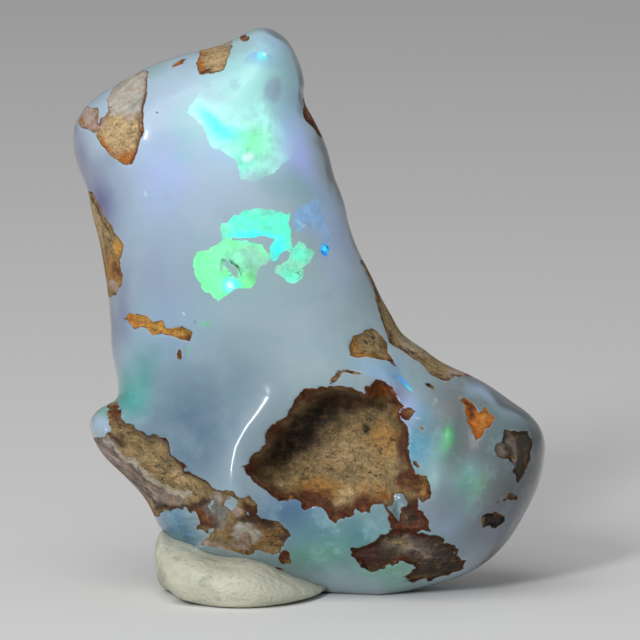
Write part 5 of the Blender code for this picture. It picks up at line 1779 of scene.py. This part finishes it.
class OPAL_OT_make_stage(bpy.types.Operator):
    """Make the pale floor, the soft light and the camera"""

    bl_idname = "opal_nugget.make_stage"
    bl_label = "Make the stage"

    def execute(self, context):
        scene = context.scene
        settings = scene.opal_stage
        self.make_floor(settings)
        world = bpy.data.worlds.new("even room light")
        world.use_nodes = True
        background = world.node_tree.nodes["Background"]
        background.inputs["Color"].default_value = (1.0, 1.0, 1.0, 1.0)
        background.inputs["Strength"].default_value = settings.room_light
        scene.world = world
        target = Vector((SIGHT_CENTRE[0] * MM, 0.0, SIGHT_CENTRE[1] * MM / math.cos(BOARD_LEAN)))
        self.add_lamp("key_lamp", target, *KEY_LAMP, settings.key_power)
        self.add_lamp("soft_lamp", target, *SOFT_LAMP, settings.soft_power)
        data = bpy.data.cameras.new("front_camera")
        data.sensor_width = 36.0
        data.lens = settings.lens
        data.clip_start = 0.01
        data.clip_end = 20.0
        camera = bpy.data.objects.new("front_camera", data)
        scene.collection.objects.link(camera)
        away = Vector((0.0, -math.cos(BOARD_LEAN), math.sin(BOARD_LEAN)))
        camera.location = target + away * settings.camera_distance
        camera.rotation_euler = (math.pi / 2.0 - BOARD_LEAN, 0.0, 0.0)
        scene.camera = camera
        scene.view_settings.view_transform = "Standard"
        return {"FINISHED"}

    def make_floor(self, settings):
        """A wide flat floor."""
        sides = ((-1, -1), (1, -1), (1, 1), (-1, 1))
        corners = [(x * FLOOR_REACH, y * FLOOR_REACH, 0.0) for x, y in sides]
        mesh = bpy.data.meshes.new("floor")
        mesh.from_pydata(corners, [], [(0, 1, 2, 3)])
        floor = bpy.data.objects.new("floor", mesh)
        bpy.context.scene.collection.objects.link(floor)
        material, tree, shader, place = blank_material("floor_pale")
        colour = shaded(tree, (*settings.floor_colour, 1.0), patches(tree, place, "floor speckle"))
        fill(tree, shader, {"Base Color": colour, "Roughness": 0.8})
        mesh.materials.append(material)
        return floor

    def add_lamp(self, name, target, azimuth, elevation, distance, size, power):
        """A flat lamp that looks at the target. Azimuth 0 is the camera's side."""
        data = bpy.data.lights.new(name, "AREA")
        data.shape = "RECTANGLE"
        data.size, data.size_y = size
        data.energy = power
        turn = math.radians(azimuth)
        rise = math.radians(elevation)
        away = Vector((math.sin(turn) * math.cos(rise), -math.cos(turn) * math.cos(rise), math.sin(rise)))
        lamp = bpy.data.objects.new(name, data)
        lamp.location = target + away * distance
        lamp.rotation_euler = (-away).to_track_quat("-Z", "Y").to_euler()
        bpy.context.scene.collection.objects.link(lamp)


class OPAL_PT_sidebar(bpy.types.Panel):
    """Lists the steps that make the nugget"""

    bl_label = "Opal nugget"
    bl_idname = "OPAL_PT_sidebar"
    bl_space_type = "VIEW_3D"
    bl_region_type = "UI"
    bl_category = "Opal"

    def draw(self, context):
        for step in STEPS:
            self.layout.operator(step)
        for group in (context.scene.opal_stone, context.scene.opal_putty, context.scene.opal_stage):
            box = self.layout.box()
            for name in group.__annotations__:
                box.prop(group, name)


STEPS = ("opal_nugget.make_stone", "opal_nugget.make_putty", "opal_nugget.make_stage")
CLASSES = (NuggetSettings, PuttySettings, StageSettings, OPAL_OT_make_stone, OPAL_OT_make_putty,
           OPAL_OT_make_stage, OPAL_PT_sidebar)


def register():
    """Add the classes and their settings to Blender."""
    for item in CLASSES:
        bpy.utils.register_class(item)
    bpy.types.Scene.opal_stone = bpy.props.PointerProperty(type=NuggetSettings)
    bpy.types.Scene.opal_putty = bpy.props.PointerProperty(type=PuttySettings)
    bpy.types.Scene.opal_stage = bpy.props.PointerProperty(type=StageSettings)


def unregister():
    """Take the classes and their settings out again."""
    del bpy.types.Scene.opal_stage
    del bpy.types.Scene.opal_putty
    del bpy.types.Scene.opal_stone
    for item in reversed(CLASSES):
        bpy.utils.unregister_class(item)


def main():
    """Make every piece."""
    register()
    bpy.ops.opal_nugget.make_stone()
    bpy.ops.opal_nugget.make_putty()
    bpy.ops.opal_nugget.make_stage()


if __name__ == "__main__":
    main()
